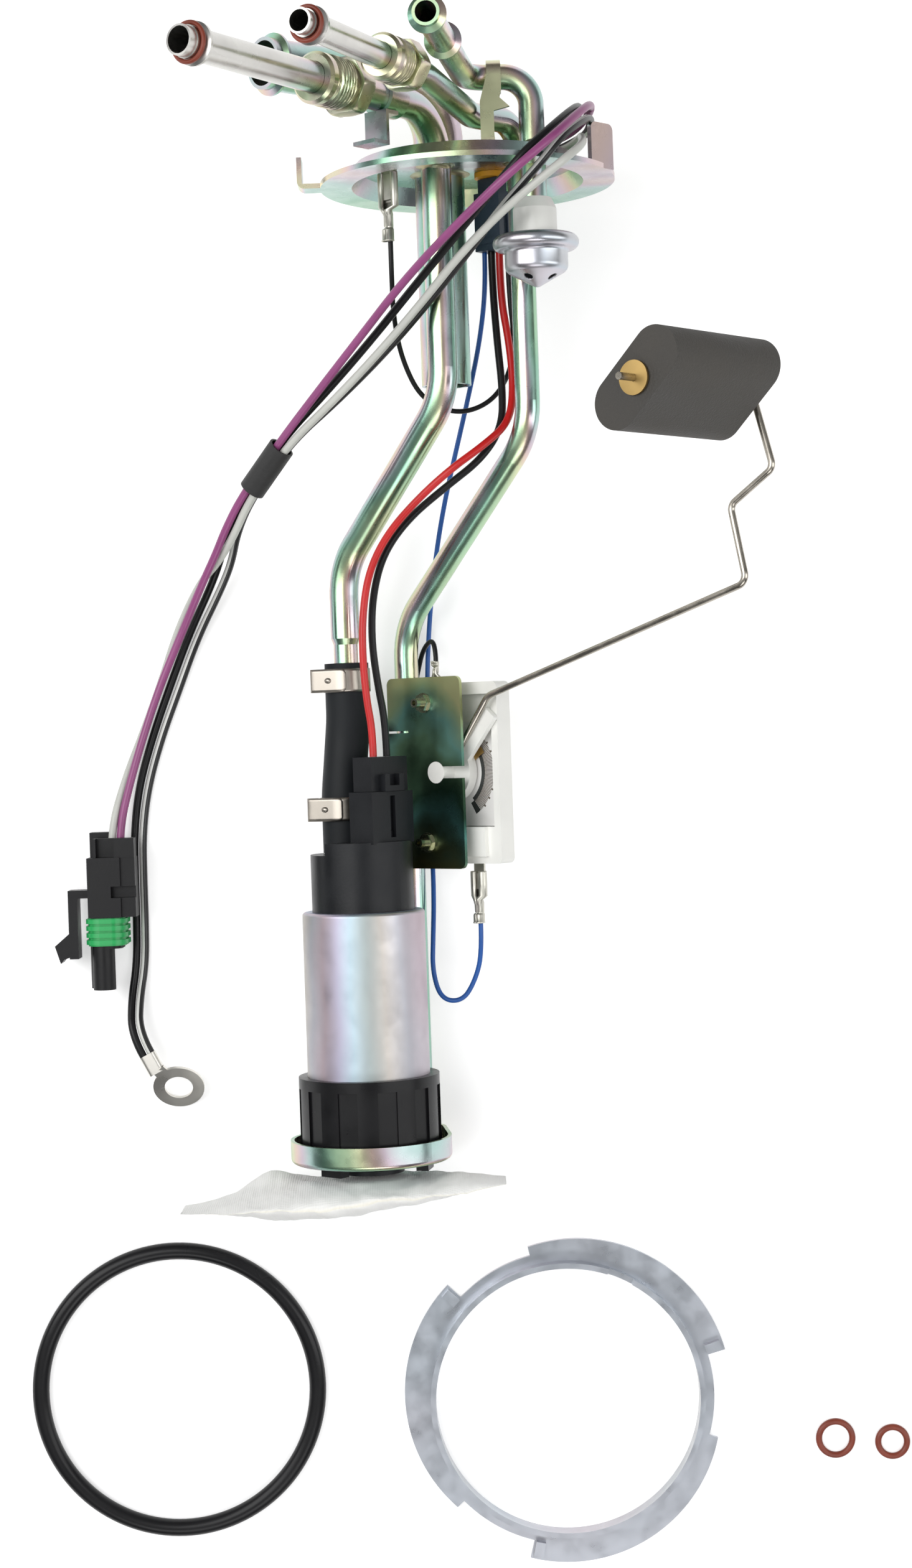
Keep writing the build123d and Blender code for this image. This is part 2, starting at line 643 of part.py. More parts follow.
def pump_plug():
    """The plug's core sits in the cap's shroud and a two-pronged latch lies on the shroud's edge."""
    foot_y = CAP_TOP_Y + PLUG_FLOOR + PLUG_FIT
    split = PLUG_SPLIT_Y - foot_y + PLUG_FIT
    top = PLUG_TOP_Y - foot_y
    core = block(PLUG_W - 2 * (PLUG_WALL + PLUG_FIT), PLUG_L - 2 * (PLUG_WALL + PLUG_FIT), split + 1)
    head = Pos(0, 0, split) * block(PLUG_W - 2.0, PLUG_L - 2.4, top - split)
    latch_x = PLUG_W / 2 + PLUG_FIT
    reach = latch_x + LATCH_SHEET / 2
    bridge = Pos(reach / 2, 0, split) * block(reach, LATCH_W, LATCH_H)
    window = Pos(latch_x, 0, split + LATCH_H / 3) * block(2 * LATCH_SHEET, LATCH_W / 2, LATCH_H)
    return on_pump(Pos(PLUG_ACROSS, 0, 0) * (core + head + (bridge - window)), foot_y)


def pump_can():
    length = CAN_TOP_Y - CAN_BOTTOM_Y
    mouth = CAP_R + FIT
    outer = Plane.XZ * Polyline((mouth, length), (CAN_R, length), (CAN_R, 0), (CAN_R - CAN_WALL, 0),
                                (CAN_R - CAN_WALL, length - CAN_WALL), (mouth, length - CAN_WALL), close=True)
    can = revolve(make_face(outer), Axis.Z)
    rim = can.edges().filter_by(GeomType.CIRCLE).filter_by(lambda e: abs(e.radius - CAN_R) < 0.01)
    can = fillet(rim.sort_by(Axis.Z)[-1], CAN_SHOULDER * 0.36)
    return on_pump(can, CAN_BOTTOM_Y)


def pump_magnets():
    outer = CAN_R - CAN_WALL - FIT
    ring = bar(outer, MAGNET_L) - bar(MAGNET_IN_R, MAGNET_L)
    for side in (-1, 1):
        ring -= Pos(0, side * CAN_R, 0) * block(MAGNET_GAP, 2 * (CAN_R - MAGNET_GAP_FROM), MAGNET_L)
    shells = on_pump(ring, ARMATURE_TOP_Y - ARMATURE_L / 2 - MAGNET_L / 2)
    return Compound(shells.solids())


def pump_shaft():
    top = CAN_TOP_Y + 4.0
    low = CHAMBER_TOP_Y - CHAMBER_L - IMPELLER_L - 3.0
    return on_pump(bar(SHAFT_R, top - low), low)


def pump_armature():
    bore = SHAFT_R + FIT / 2
    core = bar(ARMATURE_R, ARMATURE_L) - bar(bore, ARMATURE_L)
    for turn in range(8):
        core -= Rot(0, 0, 45 * turn) * Pos(ARMATURE_R - 1.6, 0, 0) * block(4.4, 1.6, ARMATURE_L)
    windings = bar(ARMATURE_R - 2.4, ARMATURE_L + 6) - bar(bore, ARMATURE_L + 6)
    commutator_y = ARMATURE_TOP_Y + 3.2
    commutator = bar(COMMUTATOR_R, COMMUTATOR_L) - bar(bore, COMMUTATOR_L)
    rotor = on_pump(core, ARMATURE_TOP_Y - ARMATURE_L) + on_pump(windings, ARMATURE_TOP_Y - ARMATURE_L - 3)
    return rotor + on_pump(commutator, commutator_y)


def pump_brushes():
    pieces = []
    for side in (-1, 1):
        brush = Pos(side * (COMMUTATOR_R + RUN_GAP + BRUSH_L / 2), 0, 0) * block(BRUSH_L, BRUSH_W, BRUSH_H)
        pieces.append(on_pump(brush, CAN_TOP_Y - CAP_SPIGOT_L + BRUSH_SEAT - FIT - BRUSH_H))
    return Compound(pieces)


def pump_chamber():
    outer = CAN_R - CAN_WALL - FIT
    pocket = IMPELLER_L + RUN_GAP * 2
    total = CHAMBER_L + pocket
    piece = bar(outer, total) - bar(IMPELLER_R + RUN_GAP, pocket) - bar(SHAFT_R + SHAFT_FIT, total)
    piece -= Pos(11.0, 0, 0) * bar(2.2, total)
    return on_pump(piece, CHAMBER_TOP_Y - total)


def pump_impeller():
    wheel = bar(IMPELLER_R, IMPELLER_L) - bar(SHAFT_R + FIT / 2, IMPELLER_L)
    for vane in range(IMPELLER_VANES):
        cut = Pos(IMPELLER_R - 0.9, 0, 0) * block(2.6, 1.9, IMPELLER_L)
        wheel -= Rot(0, 0, 360 / IMPELLER_VANES * vane) * cut
    return on_pump(wheel, CHAMBER_TOP_Y - CHAMBER_L - RUN_GAP - IMPELLER_L)


def pump_base():
    outer = CAN_R - CAN_WALL - FIT
    piece = bar(outer, BASE_L)
    piece -= Pos(0, 0, BASE_L - 4.0) * bar(SHAFT_R + SHAFT_FIT, 4.0)
    inlet = bar(INLET_R, INLET_L) - bar(INLET_R - 1.4, INLET_L)
    piece += Pos(0, 0, -INLET_L) * inlet
    piece -= Pos(3.6, 0, 0) * bar(1.9, BASE_L)
    return on_pump(piece, BASE_TOP_Y - BASE_L)


# Isolator, cradle and strainer


def pump_isolator():
    floor = CRADLE_FLOOR_Y + FIT
    height = ISOLATOR_TOP_Y - floor
    sleeve = bar(ISOLATOR_R, height)
    for flute in range(ISOLATOR_FLUTES):
        groove = Pos(ISOLATOR_R + 0.2, 0, -0.1) * block(2.2, 6.4, height - 3.4)
        sleeve -= Rot(0, 0, 360 / ISOLATOR_FLUTES * flute) * groove
    sleeve -= Pos(0, 0, CAN_BOTTOM_Y - floor) * bar(CAN_R + FIT, height)
    sleeve -= bar(INLET_R + 3.0, height)
    sleeve -= Pos(0, PUMP_AXIS_TO_STRUT, -0.1) * bar(RETURN_D / 2 + RUN_GAP, height + 0.2)
    for turn in range(3):
        foot = Pos(FOOT_AT_R, 0, -FOOT_BELOW - CRADLE_SHEET) * block(FOOT_RADIAL, FOOT_L, FOOT_BELOW + 4)
        sleeve += Rot(0, 0, 120 * turn + 150) * foot
    return on_pump(sleeve, floor)


def pump_cradle():
    def outline(cup_r, tail_r):
        cup = Circle(cup_r)
        tail = Pos(0, PUMP_AXIS_TO_STRUT) * Circle(tail_r)
        return make_hull(cup.edges() + tail.edges())

    height = CRADLE_SHEET + CRADLE_RIM_H
    tray = extrude(outline(CRADLE_R, CRADLE_TAIL_R), height)
    bottom = tray.faces().sort_by(Axis.Z)[0]
    tray = fillet(bottom.edges(), 1.6)
    inner = extrude(outline(CRADLE_R - CRADLE_SHEET, CRADLE_TAIL_R - CRADLE_SHEET), height)
    tray -= Pos(0, 0, CRADLE_SHEET) * inner
    tray -= bar(CRADLE_HOLE_R, height)
    for turn in range(3):
        slot = Pos(FOOT_AT_R, 0, 0) * block(FOOT_RADIAL + 0.4, FOOT_L + 0.4, height)
        tray -= Rot(0, 0, 120 * turn + 150) * slot
    return on_pump(tray, CRADLE_FLOOR_Y - CRADLE_SHEET)


def strainer_neck():
    top = CRADLE_FLOOR_Y + 3.0
    low = SOCK_TOP[1] + FIT
    neck = bar(NECK_R, top - low) - bar(INLET_R + FIT, top - low)
    neck += bar(10.5, 1.4) - bar(INLET_R + FIT, 1.4)
    return on_pump(neck, low)


def strainer_sock():
    left = Vector(*SOCK_LEFT)
    right = Vector(*SOCK_RIGHT)
    over = ThreePointArc(left, Vector(*SOCK_TOP), right)
    under = ThreePointArc(right, Vector(*SOCK_BOTTOM), left)
    lens = extrude(make_face([over, under]), SOCK_HALF_DEPTH, both=True)
    lens = Pos(0, 0, PUMP.Z) * lens
    mid = (SOCK_LEFT[0] + SOCK_RIGHT[0]) / 2
    half = (SOCK_RIGHT[0] - SOCK_LEFT[0]) / 2
    height = SOCK_TOP[1] - SOCK_BOTTOM[1]
    plan = Plane(origin=(mid, SOCK_BOTTOM[1] - height, PUMP.Z), x_dir=(1, 0, 0), z_dir=(0, 1, 0))
    arcs = [
        ThreePointArc((-half, SOCK_BLUNT), (0, SOCK_HALF_DEPTH), (half, SOCK_BLUNT)),
        Line((half, SOCK_BLUNT), (half, -SOCK_BLUNT)),
        ThreePointArc((half, -SOCK_BLUNT), (0, -SOCK_HALF_DEPTH), (-half, -SOCK_BLUNT)),
        Line((-half, -SOCK_BLUNT), (-half, SOCK_BLUNT)),
    ]
    bag = lens & extrude(plan * make_face(arcs), 3 * height)
    return bag - on_pump(bar(10.6, 1.6), SOCK_TOP[1])


# Fuel level sender, drawn facing +Z about its keyhole and then set in its place

STRUT_DEPTH = PLATE_SHEET + RETURN_D / 2 + BRAZE_GAP
KEYHOLE = Vector(STRUT_X, KEYHOLE_Y, STRUT_Z) - ACROSS * STRUT_ACROSS + FRONT * STRUT_DEPTH
SENDER = Plane(origin=KEYHOLE, x_dir=ACROSS, z_dir=FRONT)


def on_sender(shape):
    return SENDER.location * shape


def slab(x0, x1, y0, y1, z0, z1):
    """A plain block between two corners."""
    return Pos((x0 + x1) / 2, (y0 + y1) / 2, (z0 + z1) / 2) * Box(x1 - x0, y1 - y0, z1 - z0)


def sender_plate():
    plate = slab(-PLATE_LEFT, PLATE_RIGHT, -PLATE_BOTTOM, PLATE_TOP, -PLATE_SHEET, 0)
    plate = fillet(plate.edges().filter_by(Axis.Z), PLATE_CORNER)
    plate -= Pos(0, 0, -PLATE_SHEET) * bar(KEYHOLE_R, PLATE_SHEET)
    plate -= slab(0, PLATE_RIGHT, -SLOT_W / 2, SLOT_W / 2, -PLATE_SHEET, 0)
    plate -= slab(-PLATE_LEFT, -PLATE_LEFT + 9.0, 13.2, 13.9, -PLATE_SHEET, 0)
    for up in (-SCREW_UP, SCREW_UP):
        plate -= Pos(SCREW_ACROSS, up, -PLATE_SHEET) * bar(SCREW_D / 2 + FIT, PLATE_SHEET)
    return on_sender(plate)


def sender_screws():
    pieces = []
    for up in (-SCREW_UP, SCREW_UP):
        nut = extrude(RegularPolygon(SCREW_HEAD_R, 6), 2.0) + bar(SCREW_HEAD_R + 0.4, 0.6)
        screw = bar(SCREW_D / 2, SCREW_PROUD + PLATE_SHEET + 4.0) - Pos(0, 0, 3) * bar(0.8, 12)
        piece = Pos(SCREW_ACROSS, up, FIT) * nut + Pos(SCREW_ACROSS, up, -PLATE_SHEET - 4.0) * screw
        pieces.append(on_sender(piece))
    return Compound(pieces)


def sender_body():
    back = BODY_BACK + 2.0
    top_block = 12.5
    low_block = 12.0
    body = slab(BODY_LEFT, BODY_RIGHT, BODY_BOTTOM, BODY_TOP, BODY_BACK, BODY_RIM)
    body = fillet(body.edges().filter_by(Axis.Z), 1.8)
    well = slab(BODY_LEFT - 1, BODY_RIGHT - BODY_WALL, BODY_BOTTOM + low_block, BODY_TOP - 4.0, back + 0.8, 0)
    body -= well
    body -= slab(CARD_LEFT - CARD_ROOM, CARD_RIGHT + CARD_ROOM, CARD_BOTTOM - CARD_ROOM, CARD_TOP + CARD_ROOM,
                 CARD_FACE - CARD_T - FIT, 0)
    front = -PLATE_SHEET - FIT
    body += slab(BODY_LEFT, 1.5, BODY_TOP - top_block, BODY_TOP, BODY_RIM - 1, front)
    body += slab(BODY_LEFT, 1.5, BODY_BOTTOM, BODY_BOTTOM + low_block, BODY_RIM - 1, front)
    for up in (-SCREW_UP, SCREW_UP):
        body -= Pos(SCREW_ACROSS, up, -PLATE_SHEET - 4.2) * bar(SCREW_D / 2 + FIT, 6)
    body += Pos(0, 0, back) * bar(HINGE_PIN_R, CARD_FACE + 5.5 - back)
    body += slab(5.2, 15.0, BODY_BOTTOM + 2.4, BODY_BOTTOM + low_block, BODY_RIM - 1, BODY_RIM + 1.6)
    x, z = LOWER_TERMINAL
    body -= slab(x - 2.4, x + 2.4, BODY_BOTTOM - 1, BODY_BOTTOM + 4.0, z - 0.4 - FIT, z + 0.4 + FIT)
    x, z = UPPER_TERMINAL
    body -= slab(x - 1.8, x + 1.8, BODY_TOP - 4.0, BODY_TOP + 1, z - 0.4 - FIT, z + 0.4 + FIT)
    return on_sender(body)


def resistor_card():
    card = slab(CARD_LEFT, CARD_RIGHT, CARD_BOTTOM, CARD_TOP, CARD_FACE - CARD_T, CARD_FACE)
    card -= Pos(0, 0, CARD_FACE - CARD_T) * bar(HINGE_PIN_R + 2.6, CARD_T)
    return on_sender(card)


def wiper_carrier():
    low = CARD_FACE + 1.0
    disc_top = ARM_DEPTH - ARM_WIRE_D / 2 - FIT
    hub = Pos(0, 0, low) * bar(CARRIER_R, disc_top - low)
    lever_angle = 49.0
    lever = Rot(0, 0, lever_angle) * slab(4.0, 27.0, -4.6, 0.9, BODY_RIM + RUN_GAP, disc_top)
    carrier = hub + lever
    carrier += Pos(0, 0, low) * bar(CARRIER_BOSS_R, -low)
    carrier -= Pos(0, 0, low - 1) * bar(HINGE_PIN_R + HINGE_FIT, CARD_FACE + 5.5 - low + 1 + HINGE_FIT * 4)
    carrier -= slab(-CARRIER_R - 1, -5.6, -CARRIER_R - 1, CARRIER_R + 1, low - 1, 0)
    return on_sender(carrier)


def wiper_contact():
    low = CARD_FACE + 0.3
    strip = Rot(0, 0, 33.0) * slab(6.0, 14.2, -2.0, 0.2, low + 0.25, CARD_FACE + 1.0 - FIT)
    for reach in (8.6, 12.2):
        strip += Rot(0, 0, 33.0) * Pos(reach, -0.9, low) * bar(0.55, 0.6)
    return on_sender(strip)


def float_wire():
    """The wire lies in one plane as far as the float, then turns up through it."""
    route = [(x, y, ARM_DEPTH) for x, y in ARM_ROUTE]
    route.append((*FLOAT_AT, ARM_DEPTH))
    route.append((*FLOAT_AT, FLOAT_BACK + FLOAT_L + WASHER_T + 7.0))
    return on_sender(pipe(route, ARM_BENDS, ARM_WIRE_D))


def float_block():
    section = SlotCenterToCenter(FLOAT_LOBES, 2 * FLOAT_R, rotation=FLOAT_LEAN)
    body = extrude(section, FLOAT_L)
    body -= bar(ARM_WIRE_D / 2 + FLOAT_FIT, FLOAT_L)
    return on_sender(Pos(*FLOAT_AT, FLOAT_BACK) * body)


def float_washer():
    washer = bar(WASHER_D / 2, WASHER_T) - bar(ARM_WIRE_D / 2 + 0.02, WASHER_T)
    return on_sender(Pos(*FLOAT_AT, FLOAT_BACK + FLOAT_L + RUN_GAP) * washer)


def sender_terminals():
    """Two push-on terminals on the sender's tabs, one up and one down."""
    upper = crimp_terminal(4.2, 2.6, 1.6, 3.2, 1.3)
    x, z = UPPER_TERMINAL
    upper_at = Plane(origin=(x, BODY_TOP + UPPER_TERMINAL_REACH, z), x_dir=(1, 0, 0), z_dir=(0, -1, 0))
    lower = crimp_terminal(5.6, 5.0, 8.2, 7.0, 1.6)
    x, z = LOWER_TERMINAL
    lower_at = Plane(origin=(x, BODY_BOTTOM - LOWER_TERMINAL_REACH, z), x_dir=(1, 0, 0), z_dir=(0, 1, 0))
    return Compound([on_sender(upper_at.location * upper), on_sender(lower_at.location * lower)])


# Harness plug, ring terminal and tape

PLUG_Z = TABLE_Z + 8.5
PLUG_BODY_TOP_Y = -212.7
PLUG_BODY_END_Y = -230.2
PLUG_HALF_T = 8.5
PLUG_BODY_LEFT = -132.7
PLUG_BODY_RIGHT = -121.8
PLUG_SHELF_RIGHT = -117.0
SEAL_END_Y = -241.8
TOWER_END_Y = -256.4
TOWER_R = 3.7
TOWERS = ((-128.6, PLUG_Z + 3.4), (-130.2, PLUG_Z - 4.4))
LATCH_X = -138.2


def connector_housing():
    top = PLUG_BODY_TOP_Y
    low_z = PLUG_Z - PLUG_HALF_T
    high_z = PLUG_Z + PLUG_HALF_T
    body = slab(PLUG_BODY_LEFT, PLUG_BODY_RIGHT, -232.4, top, low_z, high_z)
    body += slab(PLUG_BODY_RIGHT - 0.1, PLUG_SHELF_RIGHT, -232.4, top, PLUG_Z - 1.5, high_z - 1.0)
    body += slab(PLUG_BODY_LEFT, -126.2, top - 0.1, -204.6, low_z, PLUG_Z - 1.6)
    body += slab(-130.6, PLUG_SHELF_RIGHT, top - 0.1, -206.4, PLUG_Z + 1.6, high_z - 0.6)
    body -= slab(-129.6, -123.6, top, -204.0, high_z - 3.4, high_z)
    body -= slab(-125.0, PLUG_SHELF_RIGHT, -226.0, -222.2, high_z - 3.2, high_z)
    neck = slab(-132.2, -122.2, SEAL_END_Y - 1.0, -232.3, PLUG_Z - 6.4, PLUG_Z + 6.4)
    neck = fillet(neck.edges().filter_by(Axis.Y), 3.0)
    body += neck
    for x, z in TOWERS:
        body += stand(bar(TOWER_R, SEAL_END_Y - FIT - TOWER_END_Y), x, TOWER_END_Y, z)
        body -= stand(bar(1.7, 12.0), x, TOWER_END_Y, z)
    return body


def connector_seal():
    """A rubber sleeve with four lips round the neck of the plug."""
    lips = 4
    pitch = (PLUG_BODY_END_Y - 2.4 - SEAL_END_Y) / lips
    inner = 3.0 + FIT
    piece = None
    for lip in range(lips):
        y = SEAL_END_Y + pitch * lip
        for grow, low, high in ((1.9, 0.5, pitch - 0.3), (1.2, 0.0, pitch)):
            reach = 6.4 + grow
            ring = slab(-132.2 - grow, -122.2 + grow, y + low, y + high, PLUG_Z - reach, PLUG_Z + reach)
            ring = fillet(ring.edges().filter_by(Axis.Y), 3.0 + grow)
            piece = ring if piece is None else piece + ring
    core = slab(-132.2 - FIT, -122.2 + FIT, SEAL_END_Y - 1, -230, PLUG_Z - 6.4 - FIT, PLUG_Z + 6.4 + FIT)
    return piece - fillet(core.edges().filter_by(Axis.Y), inner)


def connector_latch():
    half = 4.2
    low, high = PLUG_Z - half, PLUG_Z + half
    lever = slab(LATCH_X - 1.6, PLUG_BODY_LEFT - 0.35, -226.0, -223.4, low, high)
    lever += slab(LATCH_X - 1.6, LATCH_X + 1.4, -246.0, -223.4, low, high)
    hook = Polyline(
        (LATCH_X - 1.6, -237.6), (LATCH_X - 6.4, -241.6), (LATCH_X - 4.6, -247.4), (LATCH_X - 3.4, -246.0),
        (LATCH_X + 1.4, -244.6), (LATCH_X + 1.4, -237.6), close=True,
    )
    lever += Pos(0, 0, low) * extrude(make_face(hook), 2 * half)
    return lever


RING_ABOVE_TABLE = 5.4
RING_AT = Vector(-106.0, -290.1, TABLE_Z + RING_ABOVE_TABLE)
RING_TILT = 35.0
RING_OUT_R = 8.5
RING_HOLE_R = 4.7
RING_T = 1.0
BARREL_ABOVE_TABLE = 8.9
BARREL_END = Vector(-115.79, -278.68, TABLE_Z + BARREL_ABOVE_TABLE)
BARREL_FOOT = BARREL_END + Vector(3.2, -6.23, 0)


def ring_terminal():
    """A ring on a tongue with a two-wire crimp; it stands tilted, as its wires hold it."""
    tilt = radians(RING_TILT)
    plane = Plane(origin=RING_AT, x_dir=(1, 0, 0), z_dir=(0, -sin(tilt), cos(tilt)))
    ring = Pos(0, 0, -RING_T / 2) * (bar(RING_OUT_R, RING_T))
    tongue = Rot(0, 0, 128.3) * slab(0, RING_OUT_R + 1.6, -2.4, 2.4, -RING_T / 2, RING_T / 2)
    ring = ring + tongue - Pos(0, 0, -RING_T / 2) * bar(RING_HOLE_R, RING_T)
    run = BARREL_END - BARREL_FOOT
    barrel = SlotCenterToCenter(2.8, 3.0)
    across = Vector(run.Y, -run.X, 0).normalized()
    barrel_plane = Plane(origin=BARREL_FOOT, x_dir=across, z_dir=run.normalized())
    return plane.location * ring + extrude(barrel_plane * barrel, run.length)


TAPE_AT = Vector(-68.0, -87.8, -17.0)
TAPE_AXIS = Vector(-12.0, -14.5, -8.4).normalized()
TAPE_L = 18.0
TAPE_R = 4.3


def harness_tape():
    wrap = Pos(0, 0, -TAPE_L / 2) * (bar(TAPE_R, TAPE_L) - bar(TAPE_R - 0.7, TAPE_L))
    return along(wrap, TAPE_AT, TAPE_AXIS)


# Free wires, each a list of points that it runs past, from the flange outwards

HARNESS = {
    "harness_purple": [
        (14.5, 10.4, -7.6), (24.0, 11.5, -7.0), (33.0, 13.5, -1.5), (38.9, 17.2, 8.5), (39.2, 18.4, 22.0),
        (35.0, 13.0, 36.0), (26.7, 4.1, 47.5), (18.4, -3.1, 50.2), (10.2, -9.4, 48.0), (3.4, -14.8, 43.5),
        (-9.6, -24.9, 32.0), (-22.6, -36.2, 20.0), (-36.0, -50.4, 8.4), (-49.4, -64.6, -2.2),
        (-62.4, -79.0, -10.9), (-76.4, -95.8, -20.7), (-82.6, -105.8, -26.0), (-86.8, -114.6, -29.6),
        (-91.4, -122.8, -33.4), (-99.2, -138.3, -40.2), (-107.4, -155.6, -42.5), (-113.6, -172.2, -42.2),
        (-118.6, -188.5, -40.0), (-122.4, -203.5, -38.3), (-122.4, -212.7, -38.3),
    ],
    "harness_grey": [
        (14.5, 7.6, -7.6), (24.0, 8.2, -7.0), (32.4, 9.4, -1.5), (36.0, 10.4, 9.0), (35.6, 8.0, 23.0),
        (35.4, 3.0, 36.6), (30.6, -2.4, 45.9), (23.4, -7.9, 46.2), (15.4, -13.4, 42.4), (7.6, -19.0, 36.4),
        (-3.6, -28.2, 26.4), (-17.0, -42.0, 14.2), (-31.6, -56.2, 4.4), (-46.4, -69.4, -3.6),
        (-60.3, -80.7, -10.9), (-74.3, -97.5, -20.7), (-80.2, -108.4, -27.0), (-86.0, -116.4, -33.0),
        (-92.6, -122.6, -37.4), (-101.0, -137.4, -43.2), (-107.6, -155.5, -45.4), (-114.2, -172.0, -45.2),
        (-120.6, -187.6, -42.6), (-125.2, -203.5, -38.3), (-125.2, -212.7, -38.3),
    ],
    "harness_black": [
        (14.5, 10.4, -10.4), (24.5, 12.3, -10.0), (33.2, 15.6, -5.6), (35.8, 18.6, 5.0),
        (35.6, 18.8, 18.0), (31.0, 13.0, 33.5), (25.0, 6.4, 43.0), (17.6, -0.6, 47.7), (10.6, -7.8, 44.6),
        (3.8, -14.8, 39.4), (-5.8, -24.0, 28.6), (-18.6, -36.6, 16.6), (-32.4, -50.6, 4.6),
        (-47.2, -64.8, -6.0), (-61.7, -78.1, -13.3), (-75.7, -94.9, -23.1), (-81.9, -105.4, -30.0),
        (-85.6, -115.4, -36.4), (-89.4, -123.8, -40.8), (-97.6, -139.3, -45.0), (-104.7, -156.6, -45.4),
        (-111.0, -173.0, -45.4), (-116.2, -189.5, -45.4), (-118.4, -205.0, -45.4), (-118.6, -220.0, -45.4),
        (-118.6, -235.0, -45.4), (-119.0, -249.0, -45.2), (-121.0, -261.6, -42.4), (-120.7, -272.2, -37.9),
        (-117.05, -279.3, -37.9),
    ],
    "harness_striped": [
        (14.5, 7.6, -10.4), (25.0, 8.6, -9.8), (34.6, 12.0, -5.0), (38.8, 12.7, 5.4), (39.2, 14.8, 19.0),
        (34.4, 10.2, 33.0), (28.4, 4.2, 41.5), (22.9, -2.9, 44.6), (15.8, -9.8, 40.4), (8.6, -16.6, 33.6),
        (0.4, -25.4, 23.6), (-13.0, -39.4, 11.8), (-28.0, -54.0, 0.8), (-44.0, -67.6, -8.0),
        (-59.6, -79.8, -13.3), (-73.6, -96.6, -23.1), (-79.3, -107.0, -30.2), (-82.0, -116.6, -36.4),
        (-86.2, -125.2, -40.4), (-94.9, -140.8, -44.4), (-101.7, -157.7, -45.4), (-108.2, -173.8, -45.4),
        (-113.3, -190.2, -45.4), (-115.6, -205.5, -45.4), (-115.8, -220.0, -45.4), (-115.8, -235.0, -45.4),
        (-116.1, -249.0, -45.0), (-118.1, -260.6, -42.2), (-118.2, -270.9, -37.9),
        (-114.55, -278.0, -37.9),
    ],
}
LEADS = {
    "lead_black": (LEAD_D, [
        (7.1, -21.25, -9.8), (7.1, -34.0, -9.8), (7.9, -51.0, -7.0), (9.0, -66.0, -4.6),
        (8.4, -78.5, -1.6), (1.6, -88.8, 2.2), (-10.2, -97.4, 2.2), (-22.4, -106.4, -3.6),
        (-31.0, -117.0, -9.2), (-35.0, -130.0, -12.6), (-36.0, -144.5, -14.4), (-34.5, -159.0, -15.8),
        (-32.4, -171.5, -16.4), (-32.4, -182.35, -16.4),
    ]),
    "lead_red": (LEAD_D, [
        (9.6, -21.25, -7.6), (9.4, -36.0, -8.2), (11.8, -52.0, -6.2), (12.5, -66.5, -3.8),
        (10.6, -77.5, 1.2), (2.6, -84.8, 6.6), (-8.6, -92.4, 8.0), (-19.4, -101.2, 3.2),
        (-29.4, -111.2, -3.6), (-35.8, -122.6, -8.0), (-38.4, -136.0, -9.6), (-38.9, -150.0, -10.1),
        (-38.1, -164.0, -10.6), (-36.6, -173.5, -11.2), (-36.6, -182.35, -11.2),
    ]),
    "lead_blue": (THIN_D, [
        (4.9, -21.25, -11.7), (4.9, -32.0, -11.7), (2.6, -48.0, -16.4), (-1.0, -63.0, -21.2),
        (-5.6, -80.0, -26.6), (-10.8, -99.0, -32.4), (-14.8, -119.0, -38.2), (-17.3, -138.0, -42.6),
        (-18.7, -156.0, -44.8), (-19.0, -176.0, -45.6), (-19.0, -196.0, -45.2), (-19.0, -214.0, -42.6),
        (-18.9, -230.0, -38.0), (-19.6, -243.0, -34.4), (-20.2, -254.0, -33.1), (-17.6, -263.4, -32.4),
        (-10.4, -264.0, -31.2), (-6.0, -256.6, -29.2), (-3.75, -248.0, -26.1), (-3.75, -238.15, -26.1),
    ]),
    "lead_ground": (THIN_D, [
        (-24.9, -20.35, 10.0), (-24.9, -30.5, 10.0), (-25.0, -42.5, 2.0), (-22.8, -56.0, -3.4),
        (-16.8, -68.6, -7.0), (-5.4, -73.4, -9.0), (5.6, -69.6, -10.4), (12.0, -60.0, -11.0),
        (13.4, -48.4, -9.2), (12.1, -36.0, -5.0), (12.1, -21.25, -5.0),
    ]),
    "lead_sender_ground": (THIN_D, [
        (-24.4, -166.0, -44.2), (-22.0, -156.0, -43.6), (-19.6, -146.8, -40.4), (-15.5, -143.8, -34.0),
        (-15.5, -151.85, -33.1),
    ]),
}
BEND_SHARE = 0.45


def wire(name, points, diameter):
    """A wire along its points, with each bend as large as the shorter of its two runs allows."""
    bends = []
    for before, here, after in zip(points, points[1:], points[2:]):
        run_in = Vector(*here) - Vector(*before)
        run_out = Vector(*after) - Vector(*here)
        turn = radians(run_in.get_angle(run_out))
        bends.append(BEND_SHARE * min(run_in.length, run_out.length) / tan(turn / 2))
    path = FilletPolyline(*points, radius=bends)
    tube = sweep(Plane(origin=path @ 0, z_dir=path % 0) * Circle(diameter / 2), path=path)
    full = Circle(diameter / 2).area * path.length
    print(f"{name}: {path.length:.0f} mm, tightest bend {min(bends):.1f} mm, volume {tube.volume / full:.3f}")
    return tube


# Loose pieces of the kit


def tank_seal():
    section = SEAL_RING_SECTION / 2
    return Pos(*SEAL_RING_AT, TABLE_Z + section) * Torus(SEAL_RING_R - section, section)


